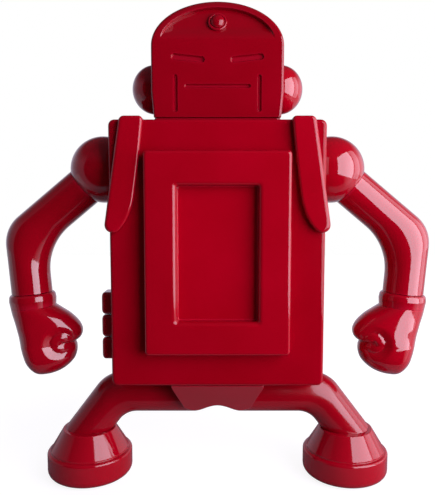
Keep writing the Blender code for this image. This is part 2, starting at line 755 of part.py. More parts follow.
def make_key(number, height):
    """A key cap that slides through the wall, with a flange that keeps it in and a plunger behind it."""
    rings = []
    for step in range(EDGE_STEPS + 1):
        turn = math.pi / 2 * step / EDGE_STEPS
        inset = KEY_ROUNDING * (1 - math.sin(turn))
        half = (KEY_HALF[0] - inset, KEY_HALF[1] - inset)
        outline = rounded_rectangle(half, 2.0, (KEY_Y, height))
        rings.append(sideways(outline, KEY_TIP + KEY_ROUNDING * (1 - math.cos(turn))))
    rings.append(sideways(rounded_rectangle(KEY_HALF, 2.0, (KEY_Y, height)), FLANGE[0] - GAP))
    flange = rounded_rectangle((KEY_HALF[0] + 2.4, KEY_HALF[1] - 0.2), 1.5, (KEY_Y, height))
    plunger = rounded_rectangle((2.2, 2.2), 1.2, (KEY_Y, height))
    rings += [sideways(flange, across) for across in FLANGE]
    rings += [sideways(plunger, across) for across in (FLANGE[1], PLUNGER_END)]
    key = piece(f"key_{number}", rings, RED)
    dome_profile = [(0, GAP), (4.6, GAP), (4.2, 1.2), (2.6, 3.7), (0, 3.7)]
    seat = (BOARD_FACE, KEY_Y, height)
    dome = turned(f"key_dome_{number}", seat, (-1, 0, 0), dome_profile, RUBBER, SMALL_SIDES)
    return key, dome


def make_neck_plate():
    """A plate on top of the torso that the head turns on."""
    outline = rounded_rectangle(NECK_PLATE_HALF, 3.0)
    plate = piece("neck_plate", [level(outline, TORSO_TOP + GAP), level(outline, STRAP_TOP)], RED)
    drill(plate, (0, 0, TORSO_TOP - 5), (0, 0, TORSO_TOP + 5), NECK_RADIUS + GAP, INNER_SIDES)
    return plate


def make_torso():
    members = [make_torso_shell(), make_back_cover()] + make_chest()
    for word, side in SIDES.items():
        members.append(make_strap(word, side))
        members.append(washer(word + "_shoulder_washer", (0, 0, BALL_CENTRE.z), (side, 0, 0),
                              SHOULDER_RADIUS + GAP, 12, (64.8, 66.7)))
    washer_span = (TORSO_BOTTOM + WALL + GAP, WAIST_GROOVE[0] - 0.2)
    members.append(washer("waist_washer", (0, 0, 0), (0, 0, 1), WAIST_RADIUS + GAP, 17, washer_span))
    members.append(make_neck_plate())
    for number, (x, z) in enumerate(COVER_SCREWS, 1):
        members.append(screw(f"cover_screw_{number}", (x, 34.6, z), (0, -1, 0), 3.4, 1.2, 1.3, 25))
    return members + make_battery_compartment() + make_sound()


# Head

def head_outline(side_inset, top_inset, steps=28):
    half = HEAD_HALF_WIDTH - side_inset
    foot = half - HEAD_TAPER
    bottom = HEAD_BOTTOM + 0.3 * side_inset
    corner = 1.0
    right = [(foot - corner, bottom), (foot - 0.3 * corner, bottom + 0.3 * corner), (foot, bottom + corner)]
    right.append((half, HEAD_TAPER_TOP))
    rise = HEAD_TOP - HEAD_SPRING - top_inset
    arch = []
    for step in range(steps + 1):
        turn = math.pi * step / steps
        u = math.copysign(abs(math.cos(turn)) ** (2 / HEAD_SQUARENESS), math.cos(turn))
        arch.append((half * u, HEAD_SPRING + rise * math.sin(turn) ** (2 / HEAD_SQUARENESS)))
    return right + arch + [(-u, v) for u, v in reversed(right)]


def rounding_left(edge, depth):
    """How far a quarter-round edge of the given size is still set in at a depth behind the face."""
    return edge - math.sqrt(edge * edge - (edge - depth) ** 2) if depth < edge else 0.0


def set_back(height):
    """How far the head leans back behind the plane of the face."""
    rise = max(height - BROW, 0.0)
    return FOREHEAD_LEAN * rise + FOREHEAD_CURVE * rise * rise


def dish_depth(height):
    """How far the forehead is sunk inside its rim."""
    return DISH_DEPTH * min(max(height - BROW, 0.0) / DISH_RISE, 1.0)


def head_ring(facing_side, depth, side_inset, top_inset, sunk=0.0):
    """An outline of the head at a depth behind its face, which leans back above the brow."""
    share = 1 - depth / HEAD_HALF_DEPTH
    ring = []
    for u, v in head_outline(side_inset, top_inset):
        behind = depth + share * set_back(v) + sunk * dish_depth(v)
        ring.append((u, facing_side * (HEAD_HALF_DEPTH - behind), v))
    return ring


def make_head_shell(name, facing_side, sunk):
    """Half of the head. The front half's forehead is sunk inside a rim."""
    inner = RIM_WIDTH + RIM_WALL
    rings = []
    if sunk:
        rings.append(head_ring(facing_side, 0, inner, inner, sunk))
        rings.append(head_ring(facing_side, 0, RIM_WIDTH, RIM_WIDTH))
    for depth in (0, 0.7, HEAD_SIDE_EDGE, 3, HEAD_TOP_EDGE):
        insets = rounding_left(HEAD_SIDE_EDGE, depth), rounding_left(HEAD_TOP_EDGE, depth)
        rings.append(head_ring(facing_side, depth, *insets))
    rim = HEAD_HALF_DEPTH - GAP / 2
    rings.append(head_ring(facing_side, rim, 0, 0))
    rings.append(head_ring(facing_side, rim, WALL, WALL))
    rings.append(head_ring(facing_side, HEAD_HOLLOW, WALL, WALL))
    rings.append(head_ring(facing_side, WALL, inner + 1, inner + 1, sunk))
    shell = piece(name, rings, RED, striped=True)
    drill(shell, (0, 0, HEAD_BOTTOM - 5), (0, 0, HEAD_BOTTOM + 6), NECK_RADIUS + GAP, INNER_SIDES)
    for side in SIDES.values():
        drill(shell, (side * 35, 0, EAR_HEIGHT), (side * 48, 0, EAR_HEIGHT), EAR_PEG + GAP)
    return shell


def lamp_axis():
    """Where the lamp stands on the forehead, and the way that it points."""
    slope = FOREHEAD_LEAN + 2 * FOREHEAD_CURVE * (LAMP_HEIGHT - BROW)
    behind = set_back(LAMP_HEIGHT) + dish_depth(LAMP_HEIGHT)
    return Vector((0, behind - HEAD_HALF_DEPTH, LAMP_HEIGHT)), Vector((0, -1, slope)).normalized()


def make_lamp():
    foot, way = lamp_axis()
    profile = [
        (0, -4.5), (LAMP_PEG, -4.5), (LAMP_PEG, GAP), (LAMP_RADIUS, GAP), (LAMP_RADIUS, 1.4),
        (LAMP_RADIUS - 0.7, 2.0), (LAMP_RADIUS - 1.6, 2.0), (LAMP_RADIUS - 2.6, 3.6), (0, 4.5),
    ]
    return turned("forehead_lamp", foot, way, profile, RED, 16)


def make_ear(word, side):
    steps = 5
    dome = [(0, EAR_REACH)]
    for step in range(1, steps):
        turn = math.pi / 2 * step / steps
        dome.append((EAR_RADIUS * math.sin(turn), EAR_REACH * math.cos(turn)))
    dome += [(EAR_RADIUS, 0), (EAR_PEG, 0), (EAR_PEG, -5.5), (0, -5.5)]
    origin = (side * (HEAD_HALF_WIDTH + GAP), 0, EAR_HEIGHT)
    return turned(word + "_ear", origin, (side, 0, 0), dome, RED)


def make_neck_post():
    """The post hangs from the floor of the head and has a groove for its clip below the torso's top."""
    low, top = TORSO_TOP - 10, HEAD_BOTTOM + 5
    flange_radius = 14.0
    flange_low = HEAD_BOTTOM + WALL + GAP
    groove_low, groove_top = NECK_GROOVE
    groove_radius = NECK_RADIUS - GROOVE_DEPTH
    profile = [
        (0, low), (NECK_RADIUS - 1, low), (NECK_RADIUS, low + 1), (NECK_RADIUS, groove_low),
        (groove_radius, groove_low), (groove_radius, groove_top), (NECK_RADIUS, groove_top),
        (NECK_RADIUS, flange_low), (flange_radius, flange_low), (flange_radius, top), (0, top),
    ]
    return turned("neck_post", (0, 0, 0), (0, 0, 1), profile, BLACK, INNER_SIDES)


def engrave(shell, name, centre, half, tilt=0.0):
    """Cut a round-ended groove into the face."""
    outline = []
    for u, v in rounded_rectangle(half, min(half) * 0.95):
        x = centre[0] + u * math.cos(tilt) - v * math.sin(tilt)
        z = centre[1] + u * math.sin(tilt) + v * math.cos(tilt)
        outline.append((x, z))
    depths = (-HEAD_HALF_DEPTH - 2, -HEAD_HALF_DEPTH + ENGRAVING)
    alter(shell, piece(name, [facing(outline, depth) for depth in depths], BLACK), "DIFFERENCE")


def make_head():
    front = make_head_shell("head_front", -1, 1)
    engrave(front, "mouth_groove", (0, 271), (21, 1.0))
    for side in SIDES.values():
        engrave(front, "eye_slot", (side * 19, 288.5), (10.5, 1.7), side * math.radians(6))
        engrave(front, "cheek_groove", (side * 27, 266.5), (1.0, 11.5))
    foot, way = lamp_axis()
    drill(front, foot - way * 8, foot + way * 4, LAMP_PEG + GAP)
    rear = make_head_shell("head_rear", 1, 0)
    members = [front, rear, make_lamp(), make_neck_post()]
    for number, (x, z) in enumerate(HEAD_SCREWS, 1):
        boss(front, (x, -HEAD_HALF_DEPTH + 1.8, z), (x, 8, z), 3.8, 1.5, (x, -12, z))
        drill(rear, (x, 20, z), (x, 32, z), 1.9)
        drill(rear, (x, 26.6, z), (x, 32, z), 3.6)
        members.append(screw(f"head_screw_{number}", (x, 26.9, z), (0, -1, 0), 3.2, 1.0, 1.2, 34))
    members += [make_ear(word, side) for word, side in SIDES.items()]
    members.append(clip("neck_clip", (0, 0, 0), (0, 0, 1), NECK_RADIUS, 11, NECK_GROOVE))
    return members


# Arms and hands

def upper_arm_direction(side):
    return (mirrored(ELBOW, side) - mirrored(BALL_CENTRE, side)).normalized()


def forearm_direction(side):
    return (mirrored(WRIST, side) - mirrored(ELBOW, side)).normalized()


def make_arm(word, side):
    centre = mirrored(BALL_CENTRE, side)
    way = upper_arm_direction(side)
    flat = BALL_FLAT - BALL_CENTRE.x
    widest = math.acos(flat / BALL_RADIUS)
    steps = 7
    ball_profile = [(0, BALL_RADIUS)]
    for step in range(1, steps + 1):
        turn = widest * step / steps
        ball_profile.append((BALL_RADIUS * math.sin(turn), BALL_RADIUS * math.cos(turn)))
    groove_low, groove_top = SHOULDER_GROOVE
    groove_radius = SHOULDER_RADIUS - GROOVE_DEPTH
    end = groove_low - 3
    ball_profile += [
        (SHOULDER_RADIUS, flat), (SHOULDER_RADIUS, groove_top), (groove_radius, groove_top),
        (groove_radius, groove_low), (SHOULDER_RADIUS, groove_low), (SHOULDER_RADIUS, end + 0.8),
        (SHOULDER_RADIUS - 0.8, end), (0, end),
    ]
    ball = turned(word + "_shoulder_ball", centre, (side, 0, 0), ball_profile, RED)
    spigot = rod(word + "_spigot", centre + way * 12, centre + way * 36, ARM_BORE - 0.35, sides=ROUND_SIDES)
    alter(ball, spigot, "UNION")
    seat = BALL_RADIUS + GAP
    outer_start = centre + way * math.sqrt(seat ** 2 - ARM_RADIUS ** 2)
    inner_start = centre + way * math.sqrt(seat ** 2 - ARM_BORE ** 2)
    wrist = mirrored(WRIST, side)
    down = forearm_direction(side)
    elbow = mirrored(ELBOW, side)
    wall, end_wall = ARM_RADIUS - ARM_BORE, 3.0
    rings = [hoop(outer_start, way, ARM_RADIUS, ROUND_SIDES)]
    rings += tube_bend((outer_start, elbow, wrist), ARM_RADIUS, ELBOW_OUTER_BEND, ELBOW_INNER_BEND)
    rings.append(hoop(wrist, down, ARM_RADIUS, ROUND_SIDES))
    rings.append(hoop(wrist, down, WRIST_RADIUS + GAP, ROUND_SIDES))
    rings.append(hoop(wrist - down * end_wall, down, WRIST_RADIUS + GAP, ROUND_SIDES))
    rings.append(hoop(wrist - down * end_wall, down, ARM_BORE, ROUND_SIDES))
    bore_bends = ELBOW_OUTER_BEND - wall, ELBOW_INNER_BEND + wall
    rings += reversed(tube_bend((inner_start, elbow, wrist), ARM_BORE, *bore_bends))
    rings.append(hoop(inner_start, way, ARM_BORE, ROUND_SIDES))
    arm = piece(word + "_arm", rings, RED, looped=True)
    ring = clip(word + "_shoulder_clip", centre, (side, 0, 0), SHOULDER_RADIUS, 10, SHOULDER_GROOVE)
    return [ball, arm, ring]


# Outer and inner edge of a closed hand: inward distances at distances down from the wrist
FIST_EDGES = (
    (10.3, -14.5, 15.0), (13.6, -15.1, 20.5), (17.8, -14.1, 26.0), (23.6, -12.7, 31.0), (29.0, -11.7, 33.0),
    (33.5, -11.1, 31.8), (37.2, -10.7, 27.4), (40.2, -10.2, 27.8), (44.5, -9.4, 27.4), (50.0, -7.7, 25.0),
    (54.8, -4.9, 19.6), (57.8, -2.0, 13.0),
)


def fist_thickness(along):
    """Half of the hand's depth at a distance down from the wrist."""
    start, end = FIST_SWELL
    swell = min((along - start) / (end - start), 1.0)
    closing = max(along - FIST_CLOSING, 0) / (FIST_END - FIST_CLOSING)
    return (CUFF_RADIUS + (FIST_DEPTH - CUFF_RADIUS) * swell) * (1 - closing ** 3) ** (1 / 2.4)


def make_fist(word, wrist, down, inward):
    sides = 16
    rings = []
    for along, outer, inner in FIST_EDGES:
        middle = outer + FIST_MIDDLE * (inner - outer)
        thick = fist_thickness(along)
        ring = []
        for step in range(sides):
            turn = math.tau * step / sides
            half = inner - middle if math.cos(turn) > 0 else middle - outer
            across = middle + half * math.copysign(abs(math.cos(turn)) ** FIST_ROUNDING, math.cos(turn))
            depth = thick * math.copysign(abs(math.sin(turn)) ** FIST_ROUNDING, math.sin(turn))
            ring.append(wrist + inward * across + down * along + Vector((0, depth, 0)))
        rings.append(ring)
    rings.append([wrist + inward * 5 + down * FIST_END])
    fist = piece(word + "_fist", rings, RED)
    drill(fist, wrist, wrist + down * (PEG_REACH + 0.4), WRIST_RADIUS + GAP)
    return fist


def make_cuff(word, wrist, down):
    edge = 1.8
    near = 0.3 * edge
    bore, end = WRIST_RADIUS + GAP, CUFF_LENGTH + GAP
    profile = [
        (bore, GAP), (CUFF_RADIUS - edge, GAP), (CUFF_RADIUS - near, GAP + near), (CUFF_RADIUS, GAP + edge),
        (CUFF_RADIUS, end - edge), (CUFF_RADIUS - near, end - near), (CUFF_RADIUS - edge, end), (bore, end),
    ]
    return turned(word + "_cuff", wrist, down, profile, RED, looped=True)


def make_wrist_peg(word, wrist, down):
    """The peg turns in the arm's end wall, which its head keeps it behind."""
    head_radius, head_end, seat = 7.5, -6.3, -3.3
    profile = [
        (0, head_end), (head_radius - 0.8, head_end), (head_radius, head_end + 0.8), (head_radius, seat),
        (WRIST_RADIUS, seat), (WRIST_RADIUS, PEG_REACH - 1), (WRIST_RADIUS - 1, PEG_REACH), (0, PEG_REACH),
    ]
    return turned(word + "_wrist_peg", wrist, down, profile, BLACK, INNER_SIDES)


def make_hand(word, side):
    wrist = mirrored(WRIST, side)
    down = forearm_direction(side)
    inward = Vector((side * down.z, 0, -side * down.x)).normalized()
    fist = make_fist(word, wrist, down, inward)
    return [fist, make_cuff(word, wrist, down), make_wrist_peg(word, wrist, down)]


def main():
    clear_scene()
    hips = pivot("hips", (0, 0, 0), make_hips())
    torso = pivot("torso", (0, 0, TORSO_BOTTOM), make_torso(), hips)
    for number, height in enumerate(KEY_HEIGHTS, 1):
        key, dome = make_key(number, height)
        pivot(f"key_{number}_slide", (-TORSO_HALF_WIDTH, KEY_Y, height), [key], torso)
        pivot(f"key_{number}_dome_seat", (BOARD_FACE, KEY_Y, height), [dome], torso)
    pivot("head", (0, 0, TORSO_TOP), make_head(), torso)
    for word, side in SIDES.items():
        arm = pivot(word + "_shoulder", mirrored(BALL_CENTRE, side), make_arm(word, side), torso)
        pivot(word + "_wrist", mirrored(WRIST, side), make_hand(word, side), arm)


main()
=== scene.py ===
"""Looks of the toy robot: fine skins, materials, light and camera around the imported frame.

The robot faces -Y, its own right side is -X, and the origin is on the floor between its boots.
Sizes are in millimetres unless a comment says metres, and a skin is scaled to metres as it is made.
"""
from math import acos, copysign, cos, pi, radians, sin, sqrt, tan, tau

import bmesh
import bpy
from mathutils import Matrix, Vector


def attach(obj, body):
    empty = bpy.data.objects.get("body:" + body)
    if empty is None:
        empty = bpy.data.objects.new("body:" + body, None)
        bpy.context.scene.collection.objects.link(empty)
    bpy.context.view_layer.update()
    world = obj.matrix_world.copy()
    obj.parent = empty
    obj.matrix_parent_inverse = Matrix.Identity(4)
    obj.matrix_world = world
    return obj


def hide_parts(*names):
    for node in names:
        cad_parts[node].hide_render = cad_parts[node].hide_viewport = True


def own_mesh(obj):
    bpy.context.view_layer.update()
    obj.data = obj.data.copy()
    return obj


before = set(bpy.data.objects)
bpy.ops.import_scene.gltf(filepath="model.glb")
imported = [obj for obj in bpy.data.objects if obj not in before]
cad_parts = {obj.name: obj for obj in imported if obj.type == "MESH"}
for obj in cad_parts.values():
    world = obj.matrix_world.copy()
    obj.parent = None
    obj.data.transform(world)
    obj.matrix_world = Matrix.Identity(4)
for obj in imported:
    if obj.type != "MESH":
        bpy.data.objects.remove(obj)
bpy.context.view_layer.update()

MILLIMETRE = 0.001
GAP = 0.3
SIDES = {"right": -1, "left": 1}
ROUND_SIDES = 96
SMALL_SIDES = 40
CORNER_STEPS = 7
EDGE_STEPS = 7
BEND_STEPS = 22
CREASE_ANGLE = radians(32)
# How far inside its rounded edge a flat face has one more ring
SUPPORT = 0.5
# How far a cutting tool reaches past the wall that it cuts
PAST = 8.0

# Torso, frame and straps
TORSO_HALF_WIDTH = 69.5
TORSO_FRONT, TORSO_BACK = -36.0, 36.0
TORSO_BOTTOM, TORSO_TOP = 76.0, 249.0
TORSO_MIDDLE = (TORSO_BOTTOM + TORSO_TOP) / 2
TORSO_CORNER, TORSO_EDGE, COVER_EDGE = 4.0, 2.2, 2.5
WALL = 2.5
COVER_SEAM = 32.0
LIP_DEPTH, LIP_WIDTH = 3.0, 2.0
TORSO_WINDOW_HALF = (29.0, 46.25)
PROUD_FRONT = -45.0
FRAME_CENTRE = (0.0, 163.75)
FRAME_HALF, FRAME_CORNER, FRAME_EDGE = (46.5, 65.0), 2.4, 2.0
WINDOW_HALF, WINDOW_CORNER, WINDOW_EDGE = (25.75, 43.3), 1.5, 3.0
PANEL_FACE, PANEL_LIP, PANEL_PLAY = -37.5, 0.6, 0.02
PANEL_FLANGE_HALF, PANEL_FLANGE = (32.0, 49.0), 2.0
STRAP_FRONT, STRAP_BACK = -41.0, 45.0
STRAP_TOP, STRAP_LENGTH = 250.7, 73.5
STRAP_INNER, STRAP_OUTER, STRAP_TIP = 46.7, 61.7, 66.5
STRAP_CORNER, STRAP_EDGE = 3.0, 2.0

# Back cover and battery door
VENT_HALF, VENT_HEIGHT, VENT_PITCH = (15.0, 1.3), 205.0, 6.0
HATCH_HALF, HATCH_CENTRE = (19.0, 34.5), (0.0, 129.0)
DOOR_BACK, DOOR_EDGE, DOOR_FACE = 33.0, 35.2, 35.7
GRIP_HALF, GRIP_HEIGHT, GRIP_PITCH, GRIP_DEPTH = (11.0, 0.7), 100.5, 2.8, 0.6

# Screws, with the radius and height of the head and the radius and length of the shank
COVER_SCREW = {"seat": 34.6, "head": (3.4, 1.2), "shank": (1.3, 25), "hole": 2.0, "sink": 3.9}
HEAD_SCREW = {"seat": 26.9, "head": (3.2, 1.0), "shank": (1.2, 34), "hole": 1.9, "sink": 3.6}
DOOR_SCREW = {"seat": 34.7, "head": (2.6, 0.9), "shank": (1.1, 11), "hole": 1.5, "sink": 3.0}
COVER_SCREW_SPOTS = ((-38, 240), (38, 240), (-61, 84), (61, 84))
HEAD_SCREW_SPOTS = ((-27, 262), (27, 262))
DOOR_SCREW_SPOT = (0, 159.2)

# Head
HEAD_HALF_WIDTH, HEAD_HALF_DEPTH = 42.7, 28.0
HEAD_BOTTOM, HEAD_SPRING, HEAD_TOP = 251.0, 296.3, 327.0
BROW = 300.7
HEAD_TAPER, HEAD_TAPER_TOP = 1.4, 268.0
HEAD_SIDE_EDGE, HEAD_TOP_EDGE, HEAD_FOOT_CORNER = 1.6, 4.5, 1.0
HEAD_HOLLOW = 10.0
FOREHEAD_LEAN, FOREHEAD_CURVE = 0.16, 0.006
DISH_DEPTH, DISH_RISE = 3.0, 9.0
RIM_WIDTH, RIM_WALL = 4.9, 1.2
RIM_INNER = RIM_WIDTH + RIM_WALL
EAR_RADIUS, EAR_REACH, EAR_HEIGHT = 16.5, 15.5, 273.6
LAMP_HEIGHT, LAMP_RADIUS = 311.8, 6.2
EAR_PEG, LAMP_PEG = 4.0, 3.0
ENGRAVING = 1.5
MOUTH_PLACE, MOUTH_HALF = (0, 271), (21, 1.0)
EYE_PLACE, EYE_HALF, EYE_TILT = (19, 288.5), (10.5, 1.7), radians(6)
CHEEK_PLACE, CHEEK_HALF = (27, 266.5), (1.0, 11.5)

# Swivels
WAIST_RADIUS, COLLAR_RADIUS, COLLAR_DEPTH = 10.0, 18.0, 1.6
NECK_RADIUS, SHOULDER_RADIUS, WRIST_RADIUS = 8.0, 6.0, 4.0
NECK_PLATE_HALF, NECK_PLATE_CORNER = (41.0, 27.7), 3.0

# Arms and hands, measured on the left side
BALL_CENTRE = Vector((79.0, 0.0, 219.0))
BALL_RADIUS, BALL_FLAT = 23.0, 70.0
ELBOW = Vector((135.2, 0.0, 172.3))
WRIST = Vector((132.04, 0.0, 132.5))
UPPER_ARM, FOREARM = (ELBOW - BALL_CENTRE).normalized(), (WRIST - ELBOW).normalized()
ARM_RADIUS, ARM_BORE, ARM_END_WALL = 13.95, 12.0, 3.0
ELBOW_OUTER_BEND, ELBOW_INNER_BEND = 24.0, 40.0
PLUG_PLAY, PLUG_START, PLUG_END = 0.35, 12.0, 36.0
BALL_PLAY = 0.12
CUFF_RADIUS, CUFF_LENGTH = 16.2, 9.7
CUFF_BORE, CUFF_END_RADIUS = 14.6, 15.6

# Closed hand, as distances from the wrist: inward across the hand, and along it
NECK_TOP, NECK_END = 6.4, 10.08
FIST_END, FIST_DEPTH, FIST_SIDES = 59.0, 19.0, 200
FIST_SWELL, FIST_FORMED, FIST_CLOSING = 36.0, 26.0, 34.0
CURL = Vector((20.4, 35.6))
CURL_RADIUS, CURL_REACH, CURL_DEPTH = 7.2, 12.8, 0.13
NOTCH = Vector((27.4, 37.2))

# Legs and boots, measured on the left side
BAR_HEIGHT = 60.4
LEG_RADIUS, LEG_BORE = 14.0, 11.4
HIP_OUTER_BEND, HIP_INNER_BEND = 24.0, 17.0
HIP = Vector((72.6, 0.0, BAR_HEIGHT))
LEG_LEAN = radians(37.2)
LEG_END_HEIGHT = 27.5
LEG_WAY = Vector((sin(LEG_LEAN), 0, -cos(LEG_LEAN)))
LEG_END = HIP + LEG_WAY * ((BAR_HEIGHT - LEG_END_HEIGHT) / cos(LEG_LEAN))
BOOT_X, BOOT_RADIUS, BOOT_CAVITY = 92.8, 30.2, 24.0
SOCKET_LENGTH, SOCKET_PLAY = 40.0, 0.35
PELVIS_LOBE, PELVIS_LOW, PELVIS_NOTCH = 17.0, 52.0, 5.0
PELVIS_FRONT, PELVIS_REAR, PELVIS_SLOPE = -33.5, -11.0, 0.68
BAR_NOTCH = 4.2
NOTCH_TILT = radians(20.8)

# Keys on the right side of the torso, and their rubber domes
KEY_HEIGHTS = (128.8, 113.4, 98.0)
KEY_Y, KEY_HALF, KEY_TIP = -16.0, (8.0, 7.4), -78.0
KEY_ROUNDING, KEY_CORNER, KEY_ROOM = 2.4, 2.4, 0.4
BOARD_FACE = -58.0
DOME_PROFILE = ((0, GAP), (4.6, GAP), (4.5, 0.8), (4.0, 1.4), (2.8, 3.3), (2.3, 3.7), (0, 3.7))

# Materials: noise scales per metre, the reach of edge wear and painted edge highlight in metres, and the reds
DRIFT_SCALE, SMUDGE_SCALE = 22.0, 55.0
NOISE_RANGE = (0.3, 0.7)
WEAR_AND_SHEEN_REACH, WEAR_AND_SHEEN_RANGE, WEAR_AND_SHEEN_MOST = 0.0015, (0.95, 0.55), 0.7
COAT_ROUGHNESS, COAT_IOR = 0.03, 1.4
# The reds' dark and light tones, and a lighter edge tone that is partly wear and partly a painted highlight
RED_TONES = ((0.34, 0.0, 0.007), (0.39, 0.0, 0.01), (0.47, 0.004, 0.022))
RED_GRAIN, RED_RIPPLE = (520, 1.2e-5), (38, 1.6e-4)
# Flat pieces are polished less, so that they don't turn white from the side.
FLAT_GLOSS = {"coat": 0.2, "shine": 0.2}
EDGE_GLOSS = {"coat": 0.55, "shine": 0.3}

# Light and camera, in metres and pixels
LIGHT_WAY = Vector((-0.881, 0.473, 0.0))
LIGHT_HEIGHT, LIGHT_TALL = 0.385, 0.73
DAYLIGHT = (0.98, 0.95, 1.1)
IMAGE_HEIGHT, FOCAL_LENGTH = 495, 560
SENSOR = 36.0
CAMERA_PLACE = (0.0, -0.395, 0.199)
CAMERA_PITCH = radians(85.0)
CLIP_START = 0.01

# Floor
FLOOR_HALF, FLOOR_FRONT = (1500, 800), -75.0


# Materials

def set_inputs(tree, node, **inputs):
    """Give each input a value or another node's output. A _ in its name stands for a space."""
    for name, value in inputs.items():
        socket = node.inputs[name.replace("_", " ")]
        if isinstance(value, bpy.types.NodeSocket):
            tree.links.new(value, socket)
        else:
            socket.default_value = value


def add_node(tree, kind, **inputs):
    """The first output of a new node."""
    node = tree.nodes.new(kind)
    set_inputs(tree, node, **inputs)
    return node.outputs[0]


def noise(tree, place, scale, detail=3.0):
    return add_node(tree, "ShaderNodeTexNoise", Vector=place, Scale=scale, Detail=detail)


def blend(tree, amount, *colours):
    """A blend of two colours, each of which may be another node's output."""
    mix = tree.nodes.new("ShaderNodeMix")
    mix.data_type = "RGBA"
    set_inputs(tree, mix, Factor=amount)
    for socket, value in zip(mix.inputs[6:8], colours):
        if isinstance(value, tuple):
            socket.default_value = (*value, 1.0)
        else:
            tree.links.new(value, socket)
    return mix.outputs[2]


def spread(tree, source, low, high, new_low=0.0, new_high=1.0):
    return add_node(tree, "ShaderNodeMapRange", Value=source, From_Min=low, From_Max=high, To_Min=new_low,
                    To_Max=new_high)


def bump(tree, place, scale, metres, detail, **before):
    """A normal from a noise of a height in metres, on top of any normal before it."""
    height = noise(tree, place, scale, detail)
    return add_node(tree, "ShaderNodeBump", Height=height, Strength=1.0, Distance=metres, **before)


def surface_colour(tree, place, dark, light, wear_and_sheen_colour):
    """A colour between dark and light, which goes towards any lighter edge colour at the edges: wear, and on
    the reds a painted highlight too.
    """
    drift = spread(tree, noise(tree, place, DRIFT_SCALE), *NOISE_RANGE)
    colour = blend(tree, drift, dark, light)
    if not wear_and_sheen_colour:
        return colour
    # Convex edges, found by occlusion inside the piece, get the lighter edge colour: wear, and on the reds a
    # painted highlight.
    edge = tree.nodes.new("ShaderNodeAmbientOcclusion")
    edge.inside = True
    edge.only_local = True
    edge.samples = 6
    set_inputs(tree, edge, Distance=WEAR_AND_SHEEN_REACH)
    wear_and_sheen_mask = spread(tree, edge.outputs["AO"], *WEAR_AND_SHEEN_RANGE, 0.0, WEAR_AND_SHEEN_MOST)
    return blend(tree, wear_and_sheen_mask, colour, wear_and_sheen_colour)


def make_material(name, dark, light, roughness, grain, ripple=None, metallic=0.0, wear_and_sheen_colour=None, coat=0.0,
                  shine=0.5):
    """A moulded or painted surface, whose roughness varies between two values.

    Grain and ripple are each a noise scale and a height in metres.
    """
    material = bpy.data.materials.new(name)
    material.use_nodes = True
    tree = material.node_tree
    place = tree.nodes.new("ShaderNodeTexCoord").outputs["Object"]
    colour = surface_colour(tree, place, dark, light, wear_and_sheen_colour)
    smudges = spread(tree, noise(tree, place, SMUDGE_SCALE, 5.0), *NOISE_RANGE, *roughness)
    before = {"Normal": bump(tree, place, *ripple, 1.0)} if ripple else {}
    normal = bump(tree, place, *grain, 2.0, **before)
    set_inputs(tree, tree.nodes["Principled BSDF"], Base_Color=colour, Roughness=smudges, Normal=normal,
               Metallic=metallic, Specular_IOR_Level=shine, Coat_Weight=coat, Coat_Roughness=COAT_ROUGHNESS,
               Coat_IOR=COAT_IOR)
    return material


def make_red(name, shade, roughness=(0.05, 0.11), coat=1.0, shine=0.5):
    """A glossy red lacquer, whose colours are scaled by the shade; on several pieces this scale paints light
    or shade.
    """
    dark, light, wear_and_sheen_colour = [tuple(value * shade for value in tone) for tone in RED_TONES]
    return make_material(name, dark, light, roughness, RED_GRAIN, RED_RIPPLE, 0.0, wear_and_sheen_colour, coat, shine)


def make_materials():
    return {
        "red_plastic": make_red("red_lacquer", 1.0),
        # Painted shade: the head, its lamp and the neck plate are darkened to 0.73 of the red, for less light
        # up there.
        "head_painted_shade_red": make_red("head_painted_shade_red_lacquer", 0.73, **EDGE_GLOSS),
        # Painted light: the sunk chest panel is lightened to 1.07 of the red, brighter than its own light
        # makes it.
        "panel_painted_light_red": make_red("clear_red_lacquer", 1.07, **FLAT_GLOSS),
        # Painted shade: the torso shell, back cover and battery door are darkened to 0.89 of the red.
        "torso_painted_shade_red": make_red("torso_painted_shade_red_lacquer", 0.89, **FLAT_GLOSS),
        "frame_red": make_red("smooth_red_lacquer", 0.98, **EDGE_GLOSS),
        # Painted light: the fists are lightened to 1.1 of the red.
        "hand_red": make_red("hand_painted_light_red_lacquer", 1.1),
        # Painted shade: the leg arch is darkened to 0.87 of the red, for the shade under the torso; it is
        # also rougher, as if scuffed.
        "leg_painted_shade_red": make_red("scuffed_red_lacquer", 0.87, (0.1, 0.22), 0.25),
        "boot_red": make_red("rubbed_red_lacquer", 0.97, (0.06, 0.13), 0.4),
        "black_plastic": make_material(
            "black_moulding", (0.012, 0.012, 0.013), (0.026, 0.026, 0.027), (0.34, 0.5), (1400, 2.5e-5),
            wear_and_sheen_colour=(0.06, 0.06, 0.06)),
        "rubber": make_material(
            "grey_rubber", (0.02, 0.02, 0.02), (0.045, 0.044, 0.043), (0.7, 0.9), (1900, 6e-5)),
        "steel": make_material(
            "bright_steel", (0.5, 0.5, 0.51), (0.66, 0.66, 0.66), (0.22, 0.4), (2600, 1e-5), metallic=1.0),
        "cell": make_material("cell_sleeve", (0.09, 0.09, 0.1), (0.15, 0.15, 0.16), (0.25, 0.4), (700, 1e-5)),
        "board": make_material(
            "board_varnish", (0.012, 0.11, 0.04), (0.025, 0.2, 0.075), (0.3, 0.5), (900, 3e-5)),
        "lead_sheath": make_material(
            "lead_sheath", (0.02, 0.02, 0.02), (0.04, 0.04, 0.04), (0.35, 0.5), (1200, 1e-5)),
    }


finishes = make_materials()


# Outlines and rings

def ease(value, low, high):
    """0 below low, 1 above high and a smooth step between them."""
    t = min(max((value - low) / (high - low), 0.0), 1.0)
    return t * t * (3 - 2 * t)


def shrunk(half, inset):
    return half[0] - inset, half[1] - inset


